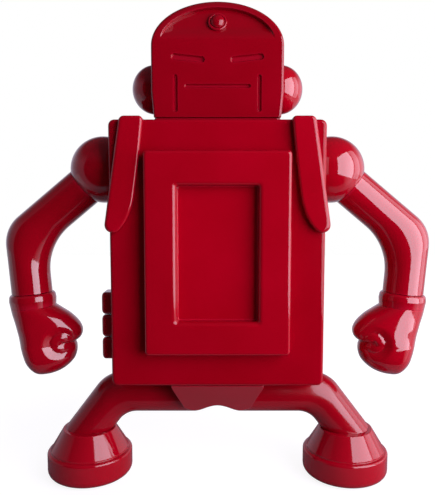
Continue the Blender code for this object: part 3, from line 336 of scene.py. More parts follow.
def turns_to(whole, steps):
    """Angles at even steps from 0 to the whole."""
    return [whole * step / steps for step in range(steps + 1)]


def circle(sides):
    return turns_to(tau, sides)[:-1]


def dome(radius, height, turns):
    """Pairs of a radius and a height on a dome, at angles from its top."""
    return [(radius * sin(turn), height * cos(turn)) for turn in turns]


def mirrored(point, side):
    return Vector((point.x * side, point.y, point.z))


def rounded_box(half, radius, centre=(0.0, 0.0)):
    points = []
    for quarter, (side_u, side_v) in enumerate(((1, 1), (-1, 1), (-1, -1), (1, -1))):
        for step in range(CORNER_STEPS + 1):
            turn = pi / 2 * (quarter + step / CORNER_STEPS)
            u = centre[0] + side_u * (half[0] - radius) + radius * cos(turn)
            v = centre[1] + side_v * (half[1] - radius) + radius * sin(turn)
            points.append((u, v))
    return points


def facing(points, depth):
    """A ring of points that faces the viewer."""
    return [(u, depth, v) for u, v in points]


def sideways(points, across):
    return [(across, u, v) for u, v in points]


def level(points, height):
    return [(u, v, height) for u, v in points]


def hoop(centre, axis, radius, sides=ROUND_SIDES):
    """A circle of points around an axis, always started from the same side."""
    axis = Vector(axis).normalized()
    helper = Vector((0, 1, 0)) if abs(axis.y) < 0.9 else Vector((1, 0, 0))
    first = axis.cross(helper).normalized()
    second = axis.cross(first)
    return [Vector(centre) + radius * (first * cos(turn) + second * sin(turn)) for turn in circle(sides)]


def quarter_round(size):
    """Pairs of inset and depth along a rounded edge, from the face to the side."""
    return [(size * (1 - sin(turn)), size * (1 - cos(turn))) for turn in turns_to(pi / 2, EDGE_STEPS)]


def rounded_face(outline, edge, face, behind=1):
    """Rings from a flat face over its rounded edge. The outline is a function of the inset."""
    rings = [facing(outline(edge + SUPPORT), face)]
    for inset, depth in quarter_round(edge):
        rings.append(facing(outline(inset), face + behind * depth))
    return rings


def filleted(profile, steps=6):
    """A profile rounded at each point that comes with a fillet radius."""
    rounded = []
    for index, (u, v, fillet) in enumerate(profile):
        if not fillet:
            rounded.append((u, v))
            continue
        here = Vector((u, v))
        arrive = (here - Vector(profile[index - 1][:2])).normalized()
        leave = (Vector(profile[(index + 1) % len(profile)][:2]) - here).normalized()
        turn = arrive.angle(leave)
        start = here - arrive * fillet * tan(turn / 2)
        inward = (leave - arrive * arrive.dot(leave)).normalized()
        for swing in turns_to(turn, steps):
            rounded.append(tuple(start + fillet * (arrive * sin(swing) + inward * (1 - cos(swing)))))
    return rounded


def oval(centre, way, half_width, half_depth):
    """A ring round a tube that is cut at a slant, started from the same side as a hoop."""
    first = way.cross(Vector((0, 1, 0))).normalized()
    second = way.cross(first) * half_depth
    reach = half_width * copysign(1.0, half_width.dot(first))
    return [centre + reach * cos(turn) + second * sin(turn) for turn in circle(ROUND_SIDES)]


def tube_bend(corners, radius, outer_bend, inner_bend):
    """Rings round the middle one of three corners, with its own fillet outside and inside the bend."""
    before, corner, after = corners
    arrive = (corner - before).normalized()
    leave = (after - corner).normalized()
    turn = arrive.angle(leave)
    inward = (leave - arrive * arrive.dot(leave)).normalized()
    inside = (leave - arrive).normalized() / cos(turn / 2)
    outer_centre = corner - inside * (radius - outer_bend)
    inner_centre = corner + inside * (radius + inner_bend)
    rings = []
    for swing in turns_to(turn, BEND_STEPS):
        way = arrive * cos(swing) + inward * sin(swing)
        outward = arrive * sin(swing) - inward * cos(swing)
        outer = outer_centre + outward * outer_bend
        inner = inner_centre + outward * inner_bend
        rings.append(oval((outer + inner) / 2, way, (outer - inner) / 2, radius))
    return rings


# Skins

def join_rows(skin, row, after):
    count = max(len(row), len(after))
    for i in range(count):
        j = (i + 1) % count
        if len(row) == 1:
            skin.faces.new((row[0], after[j], after[i]))
        elif len(after) == 1:
            skin.faces.new((row[i], row[j], after[0]))
        else:
            skin.faces.new((row[i], row[j], after[j], after[i]))


def cap(skin, ring, striped):
    """Close a ring with one face, or with level stripes across it."""
    if not striped:
        skin.faces.new(ring)
        return
    last = len(ring) - 1
    for i in range(last // 2 - 1):
        skin.faces.new((ring[i], ring[i + 1], ring[last - 1 - i], ring[last - i]))
    top = last // 2
    skin.faces.new((ring[top - 1], ring[top], ring[top + 1]))


def new_object(name, data):
    obj = bpy.data.objects.new(name, data)
    bpy.context.scene.collection.objects.link(obj)
    return obj


def build(name, rings, looped=False, striped=False):
    """A closed body through rings of points. A ring of one point is a pole."""
    skin = bmesh.new()
    rows = [[skin.verts.new(Vector(point) * MILLIMETRE) for point in ring] for ring in rings]
    followers = rows[1:] + rows[:1] if looped else rows[1:]
    for row, after in zip(rows, followers):
        join_rows(skin, row, after)
    if not looped:
        for end in (rows[0], rows[-1]):
            if len(end) > 1:
                cap(skin, end, striped)
    bmesh.ops.recalc_face_normals(skin, faces=skin.faces)
    mesh = bpy.data.meshes.new(name)
    skin.to_mesh(mesh)
    skin.free()
    return new_object(name, mesh)


def lathe(name, origin, axis, profile, sides=ROUND_SIDES, looped=False):
    """A turned shape from points that give a radius and a distance along the axis."""
    axis = Vector(axis).normalized()
    rings = []
    for radius, along in profile:
        centre = Vector(origin) + axis * along
        rings.append(hoop(centre, axis, radius, sides) if radius else [centre])
    return build(name, rings, looped)


def rod(start, end, radius, sides=SMALL_SIDES):
    axis = Vector(end) - Vector(start)
    return build("tool", [hoop(start, axis, radius, sides), hoop(end, axis, radius, sides)])


def block(low, high):
    corners = [(low[0], low[2]), (high[0], low[2]), (high[0], high[2]), (low[0], high[2])]
    return build("tool", [facing(corners, low[1]), facing(corners, high[1])])


def settle(obj):
    """Make the result of the modifiers the object's own mesh."""
    graph = bpy.context.evaluated_depsgraph_get()
    graph.update()
    mesh = bpy.data.meshes.new_from_object(obj.evaluated_get(graph))
    old = obj.data
    obj.modifiers.clear()
    obj.data = mesh
    bpy.data.meshes.remove(old)


def alter(target, tool, operation="DIFFERENCE"):
    """Cut the tool out of the target or join it on, and throw the tool away."""
    modifier = target.modifiers.new("alter", "BOOLEAN")
    modifier.operation = operation
    modifier.object = tool
    modifier.solver = "EXACT"
    settle(target)
    bpy.data.objects.remove(tool)


def drill(target, start, end, radius, sides=SMALL_SIDES):
    alter(target, rod(start, end, radius, sides))


def drill_upright(target, height, radius):
    """A hole for a post through a level wall."""
    drill(target, (0, 0, height - PAST), (0, 0, height + PAST), radius + GAP)


def drill_sides(target, half_width, height, radius):
    """A hole for a peg through each side wall."""
    for side in SIDES.values():
        inner, outer = side * (half_width - PAST), side * (half_width + PAST)
        drill(target, (inner, 0, height), (outer, 0, height), radius + GAP)


def cut_through(target, outline, start, end, turned=facing):
    """Cut an outline out from one depth to another."""
    alter(target, build("tool", [turned(outline, start), turned(outline, end)]))


def screw_hole(target, spot, screw):
    """A hole with a wider sink for the screw's head."""
    x, z = spot
    seat = screw["seat"]
    drill(target, (x, seat - PAST, z), (x, seat + PAST, z), screw["hole"])
    drill(target, (x, seat - GAP, z), (x, seat + PAST, z), screw["sink"])


def soften(obj, width, segments, angle):
    """Round every edge that is sharper than the angle."""
    modifier = obj.modifiers.new("soften", "BEVEL")
    modifier.width = width * MILLIMETRE
    modifier.segments = segments
    modifier.limit_method = "ANGLE"
    modifier.angle_limit = angle
    modifier.use_clamp_overlap = True
    settle(obj)


def place(obj, body, finish="red_plastic"):
    """Shade the piece, put it in its CAD node's place and let it ride on its body."""
    mesh = obj.data
    mesh.polygons.foreach_set("use_smooth", [True] * len(mesh.polygons))
    mesh.set_sharp_from_angle(angle=CREASE_ANGLE)
    even = obj.modifiers.new("even_normals", "WEIGHTED_NORMAL")
    even.keep_sharp = True
    mesh.materials.clear()
    mesh.materials.append(finishes[finish])
    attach(obj, body)
    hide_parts(obj.name.removeprefix("fine_"))
    "red_plastic" if finish.endswith("_red") else finish


# Hips, legs and boots

def wave(x):
    """1 in the middle of the pelvis, 0 at the lobes beside it."""
    return (1 + cos(pi * x / PELVIS_LOBE)) / 2


def bar_rings(radius, steps=48):
    """Rings along the bar between the legs, whose underside is raised in the middle."""
    rings = []
    for step in range(steps + 1):
        x = PELVIS_LOBE * (2 * step / steps - 1)
        lowest = BAR_HEIGHT - radius / cos(NOTCH_TILT) + BAR_NOTCH * wave(x)
        ring = hoop((x, 0, BAR_HEIGHT), (1, 0, 0), radius)
        rings.append([(x, y, max(z, lowest - tan(NOTCH_TILT) * y)) for _, y, z in ring])
    return rings


def leg_rings(radius, outer_bend, inner_bend):
    corners = [mirrored(LEG_END, -1), mirrored(HIP, -1), HIP, LEG_END]
    rings = [hoop(corners[0], -mirrored(LEG_WAY, -1), radius)]
    rings += tube_bend(corners[:3], radius, outer_bend, inner_bend)
    rings += bar_rings(radius)
    rings += tube_bend(corners[1:], radius, outer_bend, inner_bend)
    rings.append(hoop(LEG_END, LEG_WAY, radius))
    return rings


def make_leg_arch():
    wall = LEG_RADIUS - LEG_BORE
    outer = leg_rings(LEG_RADIUS, HIP_OUTER_BEND, HIP_INNER_BEND)
    inner = leg_rings(LEG_BORE, HIP_OUTER_BEND - wall, HIP_INNER_BEND + wall)
    arch = build("fine_leg_arch", outer + inner[::-1], looped=True)
    drill(arch, (0, 0, BAR_HEIGHT), (0, 0, TORSO_BOTTOM + PAST), WAIST_RADIUS + GAP)
    place(arch, "hips", "leg_painted_shade_red")


def make_pelvis_cover():
    """A wedge in front of the leg arch, with a notch between two lobes."""
    top = TORSO_BOTTOM - 2 * GAP
    steps = 16
    lower_edge = []
    for step in range(steps + 1):
        x = PELVIS_LOBE * step / steps
        lower_edge.append((x, PELVIS_LOW + PELVIS_NOTCH * wave(x)))
    lower_edge += [(22.5, 54.0), (31.0, 73.5)]
    stations = [(-x, low) for x, low in reversed(lower_edge)] + lower_edge[1:]
    rings = []
    for x, low in stations:
        front_low = PELVIS_FRONT + PELVIS_SLOPE * (top - low)
        corners = (PELVIS_FRONT, top), (front_low, low), (PELVIS_REAR, low), (PELVIS_REAR, top)
        rings.append([(x, y, z) for y, z in corners])
    cover = build("fine_pelvis_cover", rings)
    soften(cover, 1.0, 5, radians(24))
    drill(cover, mirrored(HIP, -1), HIP, LEG_RADIUS + GAP, ROUND_SIDES)
    drill(cover, (0, 0, TORSO_BOTTOM - COLLAR_DEPTH), (0, 0, TORSO_BOTTOM + PAST), COLLAR_RADIUS + GAP)
    place(cover, "hips")


def make_boot(word, side):
    profile = filleted([
        (0, 34, 0), (18.9, 34, 0.7), (27.6, 19.6, 0.5), (27.6, 18.4, 0.5), (BOOT_RADIUS, 18.4, 2.0),
        (BOOT_RADIUS, 0.6, 5.2), (BOOT_CAVITY, 0.6, 0.4), (BOOT_CAVITY, 14, 0.8), (0, 14, 0),
    ])
    boot = lathe(f"fine_{word}_boot", (side * BOOT_X, 0, 0), (0, 0, 1), profile)
    way, end = mirrored(LEG_WAY, side), mirrored(LEG_END, side)
    drill(boot, end - way * SOCKET_LENGTH, end + way * 0.4, LEG_RADIUS + SOCKET_PLAY, ROUND_SIDES)
    place(boot, "hips", "boot_red")


def make_sole(word, side):
    """A rubber disc in the boot's cavity, with ring-shaped treads."""
    profile = [(0, 0)]
    for radius in (5, 10, 15):
        profile += [(radius, 0), (radius + 0.4, 0.9), (radius + 1.6, 0.9), (radius + 2, 0)]
    edge = BOOT_CAVITY - 0.4
    profile += [(edge - 0.8, 0), (edge - 0.2, 0.2), (edge, 0.8), (edge, 3), (0, 3)]
    place(lathe(f"fine_{word}_sole", (side * BOOT_X, 0, 0), (0, 0, 1), profile), "hips", "rubber")


# Torso

def torso_outline(inset):
    half = shrunk((TORSO_HALF_WIDTH, (TORSO_TOP - TORSO_BOTTOM) / 2), inset)
    return rounded_box(half, max(TORSO_CORNER - inset, 0.8), (0, TORSO_MIDDLE))


def cut_key_slot(shell):
    middle = (KEY_HEIGHTS[0] + KEY_HEIGHTS[-1]) / 2
    half_height = (KEY_HEIGHTS[0] - KEY_HEIGHTS[-1]) / 2 + KEY_HALF[1] + KEY_ROOM
    slot = rounded_box((KEY_HALF[0] + KEY_ROOM, half_height), 2.0 + KEY_ROOM, (KEY_Y, middle))
    cut_through(shell, slot, -TORSO_HALF_WIDTH - PAST, -TORSO_HALF_WIDTH + PAST, sideways)


def make_torso_shell():
    window = rounded_box(TORSO_WINDOW_HALF, 1.0, FRAME_CENTRE)
    inside = TORSO_FRONT + WALL
    rings = [facing(torso_outline(0), COVER_SEAM)]
    rings += reversed(rounded_face(torso_outline, TORSO_EDGE, TORSO_FRONT))
    rings += [facing(window, TORSO_FRONT), facing(window, inside)]
    rings += [facing(torso_outline(WALL), inside), facing(torso_outline(WALL), COVER_SEAM)]
    shell = build("fine_torso_shell", rings, looped=True)
    drill_upright(shell, TORSO_TOP, NECK_RADIUS)
    drill_upright(shell, TORSO_BOTTOM, WAIST_RADIUS)
    drill_sides(shell, TORSO_HALF_WIDTH, BALL_CENTRE.z, SHOULDER_RADIUS)
    cut_key_slot(shell)
    place(shell, "torso", "torso_painted_shade_red")


def make_back_cover():
    """A cover with a lip inside the shell, and with the rear ends of the straps."""
    lip_out, lip_in = WALL + GAP, WALL + GAP + LIP_WIDTH
    front = COVER_SEAM + GAP
    inside, outside = TORSO_BACK - PAST, TORSO_BACK + PAST
    rings = [
        facing(torso_outline(lip_in), front), facing(torso_outline(lip_in), front - LIP_DEPTH),
        facing(torso_outline(lip_out), front - LIP_DEPTH), facing(torso_outline(lip_out), front),
        facing(torso_outline(0), front),
    ]
    rings += reversed(rounded_face(torso_outline, COVER_EDGE, TORSO_BACK, -1))
    cover = build("fine_back_cover", rings)
    for side in SIDES.values():
        alter(cover, strap_prism("tool", side, STRAP_BACK, TORSO_BACK - 1.5), "UNION")
    for spot in COVER_SCREW_SPOTS:
        screw_hole(cover, spot, COVER_SCREW)
    for row in range(-2, 3):
        vent = rounded_box(VENT_HALF, VENT_HALF[1] - 0.01, (0, VENT_HEIGHT + VENT_PITCH * row))
        cut_through(cover, vent, inside, outside)
    cut_through(cover, rounded_box(HATCH_HALF, 1.3, HATCH_CENTRE), inside, outside)
    place(cover, "torso", "torso_painted_shade_red")


def frame_outline(inset):
    return rounded_box(shrunk(FRAME_HALF, inset), FRAME_CORNER - inset * 0.5, FRAME_CENTRE)


def window_outline(grow):
    return rounded_box(shrunk(WINDOW_HALF, -grow), WINDOW_CORNER + grow * 0.5, FRAME_CENTRE)


def make_chest_frame():
    back = TORSO_FRONT - GAP
    rings = [facing(frame_outline(0), back)]
    rings += reversed(rounded_face(frame_outline, FRAME_EDGE, PROUD_FRONT))
    rings += rounded_face(window_outline, WINDOW_EDGE, PROUD_FRONT)
    rings.append(facing(window_outline(0), back))
    place(build("fine_chest_frame", rings, looped=True), "torso", "frame_red")


def make_panel():
    """A plug in the frame's window, turned up to its walls, with a flange behind it."""
    seat = TORSO_FRONT + WALL + GAP
    flange = rounded_box(PANEL_FLANGE_HALF, 2.0, FRAME_CENTRE)
    rings = [facing(window_outline(-PANEL_LIP - SUPPORT), PANEL_FACE)]
    for inset, lift in quarter_round(PANEL_LIP):
        rings.append(facing(window_outline(-2 * PANEL_PLAY - inset), PANEL_FACE - lift))
    rings.append(facing(window_outline(-PANEL_PLAY), seat))
    rings += [facing(flange, seat), facing(flange, seat + PANEL_FLANGE)]
    place(build("fine_chest_panel", rings), "torso", "panel_painted_light_red")


def quarter_oval(along, size):
    """Falls from 1 to 0 along a quarter of an oval of the given size."""
    return sqrt(max(1 - (max(along, 0.0) / size) ** 2, 0.0))


def strap_outline(side, inset=0.0, steps=48):
    """A band that leans outward as it comes down, to a round tip near its outer edge."""
    length = STRAP_LENGTH - 2 * inset
    corner = STRAP_CORNER - inset
    inner_lean, inner_curve, outer_lean = 0.09, 0.0006, 0.15
    inner_tip, outer_tip = 22.0, 6.0
    inner, outer = [], []
    for step in range(steps + 1):
        drop = length * (1 - cos(pi * step / steps)) / 2
        trim = corner * (1 - quarter_oval(corner - drop, corner))
        inner_edge = STRAP_INNER + inset + trim + inner_lean * drop + inner_curve * drop * drop
        outer_edge = STRAP_OUTER - inset - trim + outer_lean * drop
        inner_edge += (STRAP_TIP - inner_edge) * (1 - quarter_oval(drop - length + inner_tip, inner_tip))
        outer_edge += (STRAP_TIP - outer_edge) * (1 - quarter_oval(drop - length + outer_tip, outer_tip))
        height = STRAP_TOP - inset - drop
        inner.append((side * inner_edge, height))
        if step < steps:
            outer.append((side * outer_edge, height))
    return inner + outer[::-1]


def strap_prism(name, side, proud, back):
    """A strap whose outward face, at the depth called proud, has rounded edges."""
    def outline(inset):
        return strap_outline(side, inset)

    rings = rounded_face(outline, STRAP_EDGE, proud, 1 if proud < back else -1)
    return build(name, rings + [facing(outline(0), back)])


def make_strap(word, side):
    strap = strap_prism(f"fine_{word}_strap", side, STRAP_FRONT, COVER_SEAM - GAP)
    reach = TORSO_HALF_WIDTH + PAST
    low = (-reach, TORSO_FRONT - GAP, TORSO_BOTTOM)
    alter(strap, block(low, (reach, TORSO_BACK + PAST, TORSO_TOP + GAP)))
    soften(strap, 0.6, 3, radians(40))
    place(strap, "torso", "frame_red")


def make_screw(name, body, spot, screw):
    """A pan head screw with a cross recess."""
    head_radius, head_height = screw["head"]
    shank_radius, length = screw["shank"]
    x, y, z = spot[0], screw["seat"], spot[1]
    profile = filleted([
        (0, -head_height, 0), (head_radius, -head_height, head_height * 0.6), (head_radius, 0, 0),
        (shank_radius, 0, 0), (shank_radius, length - shank_radius, 0), (0, length, 0),
    ])
    obj = lathe("fine_" + name, (x, y, z), (0, -1, 0), profile, SMALL_SIDES)
    arm, half = head_radius * 0.62, head_radius * 0.13
    bottom, top = y + head_height * 0.3, y + PAST
    for wide, tall in ((arm, half), (half, arm)):
        alter(obj, block((x - wide, bottom, z - tall), (x + wide, top, z + tall)))
    place(obj, body, "steel")


def make_battery_door():
    half = shrunk(HATCH_HALF, GAP)
    outline = rounded_box(half, 1.0, HATCH_CENTRE)
    inner = rounded_box(shrunk(half, DOOR_FACE - DOOR_EDGE), 0.8, HATCH_CENTRE)
    rings = [facing(outline, DOOR_BACK), facing(outline, DOOR_EDGE), facing(inner, DOOR_FACE)]
    door = build("fine_battery_door", rings)
    screw_hole(door, DOOR_SCREW_SPOT, DOOR_SCREW)
    for row in range(5):
        groove = rounded_box(GRIP_HALF, GRIP_HALF[1] - 0.01, (0, GRIP_HEIGHT + GRIP_PITCH * row))
        cut_through(door, groove, DOOR_FACE - GRIP_DEPTH, DOOR_FACE + PAST)
    place(door, "torso", "torso_painted_shade_red")


def make_key_dome(number, seat):
    """A rubber dome on the board, which its key flattens."""
    obj = lathe(f"fine_key_dome_{number}", seat, (-1, 0, 0), DOME_PROFILE, SMALL_SIDES)
    place(obj, "torso", "rubber")
    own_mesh(obj)


def make_key(number, body, height):
    """A key with a flange behind the torso's side and a plunger over its dome."""
    centre = (KEY_Y, height)
    tip = rounded_box(shrunk(KEY_HALF, KEY_ROUNDING + SUPPORT), 1.0, centre)
    rings = [sideways(tip, KEY_TIP)]
    for inset, depth in quarter_round(KEY_ROUNDING):
        outline = rounded_box(shrunk(KEY_HALF, inset), KEY_CORNER - inset * 0.4, centre)
        rings.append(sideways(outline, KEY_TIP + depth))
    rings.append(sideways(rounded_box(KEY_HALF, KEY_CORNER, centre), -66.9))
    flange = rounded_box((KEY_HALF[0] + 2.4, KEY_HALF[1] - 0.2), 1.5, centre)
    plunger = rounded_box((2.2, 2.2), 1.2, centre)
    rings += [sideways(flange, -66.6), sideways(flange, -64.9)]
    rings += [sideways(plunger, -64.9), sideways(plunger, -62.0)]
    place(build(f"fine_key_{number}", rings), body)


def make_keys():
    for number, (word, height) in enumerate(zip(("top", "middle", "bottom"), KEY_HEIGHTS), 1):
        make_key(number, word + "_key", height)
        make_key_dome(number, (BOARD_FACE, KEY_Y, height))


def make_neck_plate():
    edge = 0.3
    outline = rounded_box(NECK_PLATE_HALF, NECK_PLATE_CORNER)
    rim = rounded_box(shrunk(NECK_PLATE_HALF, edge), NECK_PLATE_CORNER - edge)
    rings = [level(outline, TORSO_TOP + GAP), level(outline, STRAP_TOP - edge), level(rim, STRAP_TOP)]
    plate = build("fine_neck_plate", rings)
    drill_upright(plate, TORSO_TOP, NECK_RADIUS)
    place(plate, "torso", "head_painted_shade_red")


# Head

def head_outline(side_inset, top_inset, steps=56):
    half = HEAD_HALF_WIDTH - side_inset
    foot = half - HEAD_TAPER
    bottom = HEAD_BOTTOM + 0.3 * side_inset
    right = [(foot - inset, bottom + depth) for inset, depth in quarter_round(HEAD_FOOT_CORNER)]
    right.append((half, HEAD_TAPER_TOP))
    rise = HEAD_TOP - HEAD_SPRING - top_inset
    arch = [(half * cos(turn), HEAD_SPRING + rise * sin(turn)) for turn in turns_to(pi, steps)]
    return right + arch + [(-u, v) for u, v in reversed(right)]


def rounding_left(edge, depth):
    """How far a rounded edge is still set in at a depth behind the face."""
    return edge - sqrt(edge * edge - (edge - depth) ** 2) if depth < edge else 0.0


def set_back(height):
    """How far the head leans back behind the plane of the face."""
    rise = max(height - BROW, 0.0)
    return FOREHEAD_LEAN * rise + FOREHEAD_CURVE * rise * rise


def dish_depth(height):
    """How far the forehead is sunk inside its rim."""
    return DISH_DEPTH * ease(height, BROW, BROW + DISH_RISE)


def head_ring(side, depth, side_inset, top_inset, sunk=0.0):
    """An outline of the head at a depth behind its face, which leans back above the brow."""
    share = 1 - depth / HEAD_HALF_DEPTH
    ring = []
    for u, v in head_outline(side_inset, top_inset):
        behind = depth + share * set_back(v) + sunk * dish_depth(v)
        ring.append((u, side * (HEAD_HALF_DEPTH - behind), v))
    return ring


def rim_rings(side, steps=14):
    """From the sunk forehead up a softly rounded wall to the rim round it."""
    rings = [head_ring(side, 0, RIM_INNER + SUPPORT, RIM_INNER + SUPPORT, 1)]
    for step in range(steps, -1, -1):
        inset = RIM_WIDTH + RIM_WALL * step / steps
        sunk = (1 - cos(pi * step / steps)) / 2
        rings.append(head_ring(side, 0, inset, inset, sunk))
    return rings


def make_head_shell(name, side, sunk, steps=12):
    """Half of the head. The front half's forehead is sunk inside a rim."""
    rings = rim_rings(side) if sunk else []
    rings.append(head_ring(side, 0, HEAD_SIDE_EDGE + SUPPORT, HEAD_TOP_EDGE + SUPPORT))
    for turn in turns_to(pi / 2, steps):
        depth = HEAD_TOP_EDGE * (1 - cos(turn))
        insets = rounding_left(HEAD_SIDE_EDGE, depth), rounding_left(HEAD_TOP_EDGE, depth)
        rings.append(head_ring(side, depth, *insets))
    seam = HEAD_HALF_DEPTH - GAP / 2
    rings.append(head_ring(side, seam, 0, 0))
    rings += [head_ring(side, depth, WALL, WALL) for depth in (seam, HEAD_HOLLOW)]
    rings.append(head_ring(side, WALL, RIM_INNER + 1, RIM_INNER + 1, sunk))
    shell = build(name, rings, striped=True)
    drill_upright(shell, HEAD_BOTTOM, NECK_RADIUS)
    drill_sides(shell, HEAD_HALF_WIDTH, EAR_HEIGHT, EAR_PEG)
    return shell


def engrave(shell, centre, half, tilt=0.0):
    """Cut a round-ended groove with sloping sides into the face."""
    rings = []
    for depth, grow in ((-2.0, 1.1), (ENGRAVING * 0.5, 0.1), (ENGRAVING, -0.45)):
        wide = shrunk(half, -grow)
        ring = []
        for u, v in rounded_box(wide, min(wide) * 0.98):
            x = centre[0] + u * cos(tilt) - v * sin(tilt)
            z = centre[1] + u * sin(tilt) + v * cos(tilt)
            ring.append((x, -HEAD_HALF_DEPTH + depth, z))
        rings.append(ring)
    alter(shell, build("tool", rings))


def lamp_axis():
    """Where the lamp stands on the forehead, and the way that it points."""
    slope = FOREHEAD_LEAN + 2 * FOREHEAD_CURVE * (LAMP_HEIGHT - BROW)
    behind = set_back(LAMP_HEIGHT) + dish_depth(LAMP_HEIGHT)
    return Vector((0, behind - HEAD_HALF_DEPTH, LAMP_HEIGHT)), Vector((0, -1, slope)).normalized()


def make_lamp(steps=10):
    """A dome in a ring, on a peg through the forehead."""
    foot, way = lamp_axis()
    well, dome_radius, seat, rise = LAMP_RADIUS - 1.4, LAMP_RADIUS - 1.6, 1.5, 3.0
    profile = filleted([
        (0, -4.5, 0), (LAMP_PEG, -4.5, 0), (LAMP_PEG, GAP, 0), (LAMP_RADIUS, GAP, 0), (LAMP_RADIUS, 2.0, 0.7),
        (well, 2.0, 0.3), (well, seat, 0.2), (dome_radius, seat, 0),
    ])
    for turn in turns_to(pi / 2, steps)[:-1]:
        profile.append((dome_radius * cos(turn), seat + rise * sin(turn)))
    profile.append((0, seat + rise))
    place(lathe("fine_forehead_lamp", foot, way, profile, SMALL_SIDES), "head", "head_painted_shade_red")


def make_ear(word, side, steps=24):
    profile = [(0, EAR_REACH)] + dome(EAR_RADIUS, EAR_REACH, turns_to(pi / 2, steps)[1:-1])
    profile += [(EAR_RADIUS - 0.15, 0.15), (EAR_RADIUS - 0.6, 0), (EAR_PEG, 0), (EAR_PEG, -5.5), (0, -5.5)]
    origin = (side * (HEAD_HALF_WIDTH + GAP), 0, EAR_HEIGHT)
    place(lathe(f"fine_{word}_ear", origin, (side, 0, 0), profile), "head")


def make_head_front():
    front = make_head_shell("fine_head_front", -1, 1)
    engrave(front, MOUTH_PLACE, MOUTH_HALF)
    for side in SIDES.values():
        engrave(front, (side * EYE_PLACE[0], EYE_PLACE[1]), EYE_HALF, side * EYE_TILT)
        engrave(front, (side * CHEEK_PLACE[0], CHEEK_PLACE[1]), CHEEK_HALF)
    foot, way = lamp_axis()
    drill(front, foot - way * PAST, foot + way * PAST, LAMP_PEG + GAP)
    place(front, "head", "head_painted_shade_red")


def make_head_rear():
    rear = make_head_shell("fine_head_rear", 1, 0)
    for spot in HEAD_SCREW_SPOTS:
        screw_hole(rear, spot, HEAD_SCREW)
    place(rear, "head", "head_painted_shade_red")


# Arms and hands

def make_shoulder_ball(word, side, steps=40):
    """A ball with a flat towards the torso, a peg with a clip's groove, and a plug for the arm."""
    centre, way = mirrored(BALL_CENTRE, side), mirrored(UPPER_ARM, side)
    flat, peg, groove = BALL_FLAT - BALL_CENTRE.x, SHOULDER_RADIUS, SHOULDER_RADIUS - 2.0
    turns = turns_to(acos(flat / BALL_RADIUS), steps)[1:]
    profile = [
        (0, BALL_RADIUS), *dome(BALL_RADIUS, BALL_RADIUS, turns), (peg, flat), (peg, -14.4), (groove, -14.4),
        (groove, -16), (peg, -16), (peg, -18.2), (peg - 0.8, -19), (0, -19),
    ]
    ball = lathe(f"fine_{word}_shoulder_ball", centre, (side, 0, 0), profile)
    alter(ball, rod(centre + way * PLUG_START, centre + way * PLUG_END, ARM_BORE - PLUG_PLAY), "UNION")
    place(ball, word + "_arm_body")


def make_arm(word, side):
    """A bent tube from the ball to the wrist, with a hole in its end wall for the peg."""
    centre, elbow, wrist = [mirrored(point, side) for point in (BALL_CENTRE, ELBOW, WRIST)]
    way, down = [mirrored(vector, side) for vector in (UPPER_ARM, FOREARM)]
    seat = BALL_RADIUS + BALL_PLAY
    outer_start = centre + way * sqrt(seat ** 2 - ARM_RADIUS ** 2)
    inner_start = centre + way * sqrt(seat ** 2 - ARM_BORE ** 2)
    wall = ARM_RADIUS - ARM_BORE
    rings = [hoop(outer_start, way, ARM_RADIUS)]
    rings += tube_bend((outer_start, elbow, wrist), ARM_RADIUS, ELBOW_OUTER_BEND, ELBOW_INNER_BEND)
    rings += [hoop(wrist, down, radius) for radius in (ARM_RADIUS, WRIST_RADIUS + GAP)]
    end = wrist - down * ARM_END_WALL
    rings += [hoop(end, down, radius) for radius in (WRIST_RADIUS + GAP, ARM_BORE)]
    bore_bends = ELBOW_OUTER_BEND - wall, ELBOW_INNER_BEND + wall
    rings += reversed(tube_bend((inner_start, elbow, wrist), ARM_BORE, *bore_bends))
    rings.append(hoop(inner_start, way, ARM_BORE))
    place(build(f"fine_{word}_arm", rings, looped=True), word + "_arm_body")


def make_cuff(word, side):
    end = CUFF_LENGTH + GAP
    profile = filleted([
        (WRIST_RADIUS + GAP, GAP, 0), (15.6, GAP, 2.4), (CUFF_RADIUS, 5.0, 4.0), (CUFF_END_RADIUS, end, 0.1),
        (CUFF_BORE, end, 0), (CUFF_BORE, NECK_TOP - GAP, 0), (WRIST_RADIUS + GAP, NECK_TOP - GAP, 0),
    ])
    cuff = lathe(f"fine_{word}_cuff", mirrored(WRIST, side), mirrored(FOREARM, side), profile, looped=True)
    place(cuff, word + "_hand")


def curve_through(points, steps=10):
    """An open curve through the points, as a list that starts and ends on them."""
    points = [Vector(point) for point in points]
    padded = [2 * points[0] - points[1]] + points + [2 * points[-1] - points[-2]]
    curve = []
    for before, here, after, later in zip(padded, padded[1:], padded[2:], padded[3:]):
        for step in range(steps):
            t = step / steps
            curve.append(0.5 * (2 * here + (after - before) * t
                                + (2 * before - 5 * here + 4 * after - later) * t * t
                                + (3 * here - before - 3 * after + later) * t ** 3))
    return curve + [points[-1]]


def across_at(curve, along):
    """Where a curve that runs down the hand is at a distance along it."""
    for first, second in zip(curve, curve[1:]):
        if first.y <= along <= second.y:
            share = (along - first.y) / max(second.y - first.y, 1e-9)
            return first.x + (second.x - first.x) * share
    return curve[-1].x


def hand_edges():
    """The outer and inner edges of a closed hand, as distances from the wrist."""
    bottom = (5.0, FIST_END)
    outer = [
        (-CUFF_END_RADIUS, NECK_END), (-15.0, 14.4), (-13.1, 21.6), (-11.7, 28.8), (-10.8, 36.0),
        (-9.7, 43.0), (-7.6, 50.4), (-2.2, 57.4),
    ]
    inner = [
        (CUFF_END_RADIUS, NECK_END), (20.5, 13.6), (26.0, 17.8), (31.0, 23.6), (33.0, 29.0), (32.0, 33.2),
        (30.0, 35.6), (27.4, 37.2), (27.9, 40.0), (27.4, 44.5), (25.0, 50.0), (19.6, 54.8), (13.0, 57.8),
    ]
    return curve_through(outer + [bottom]), curve_through(inner + [bottom])


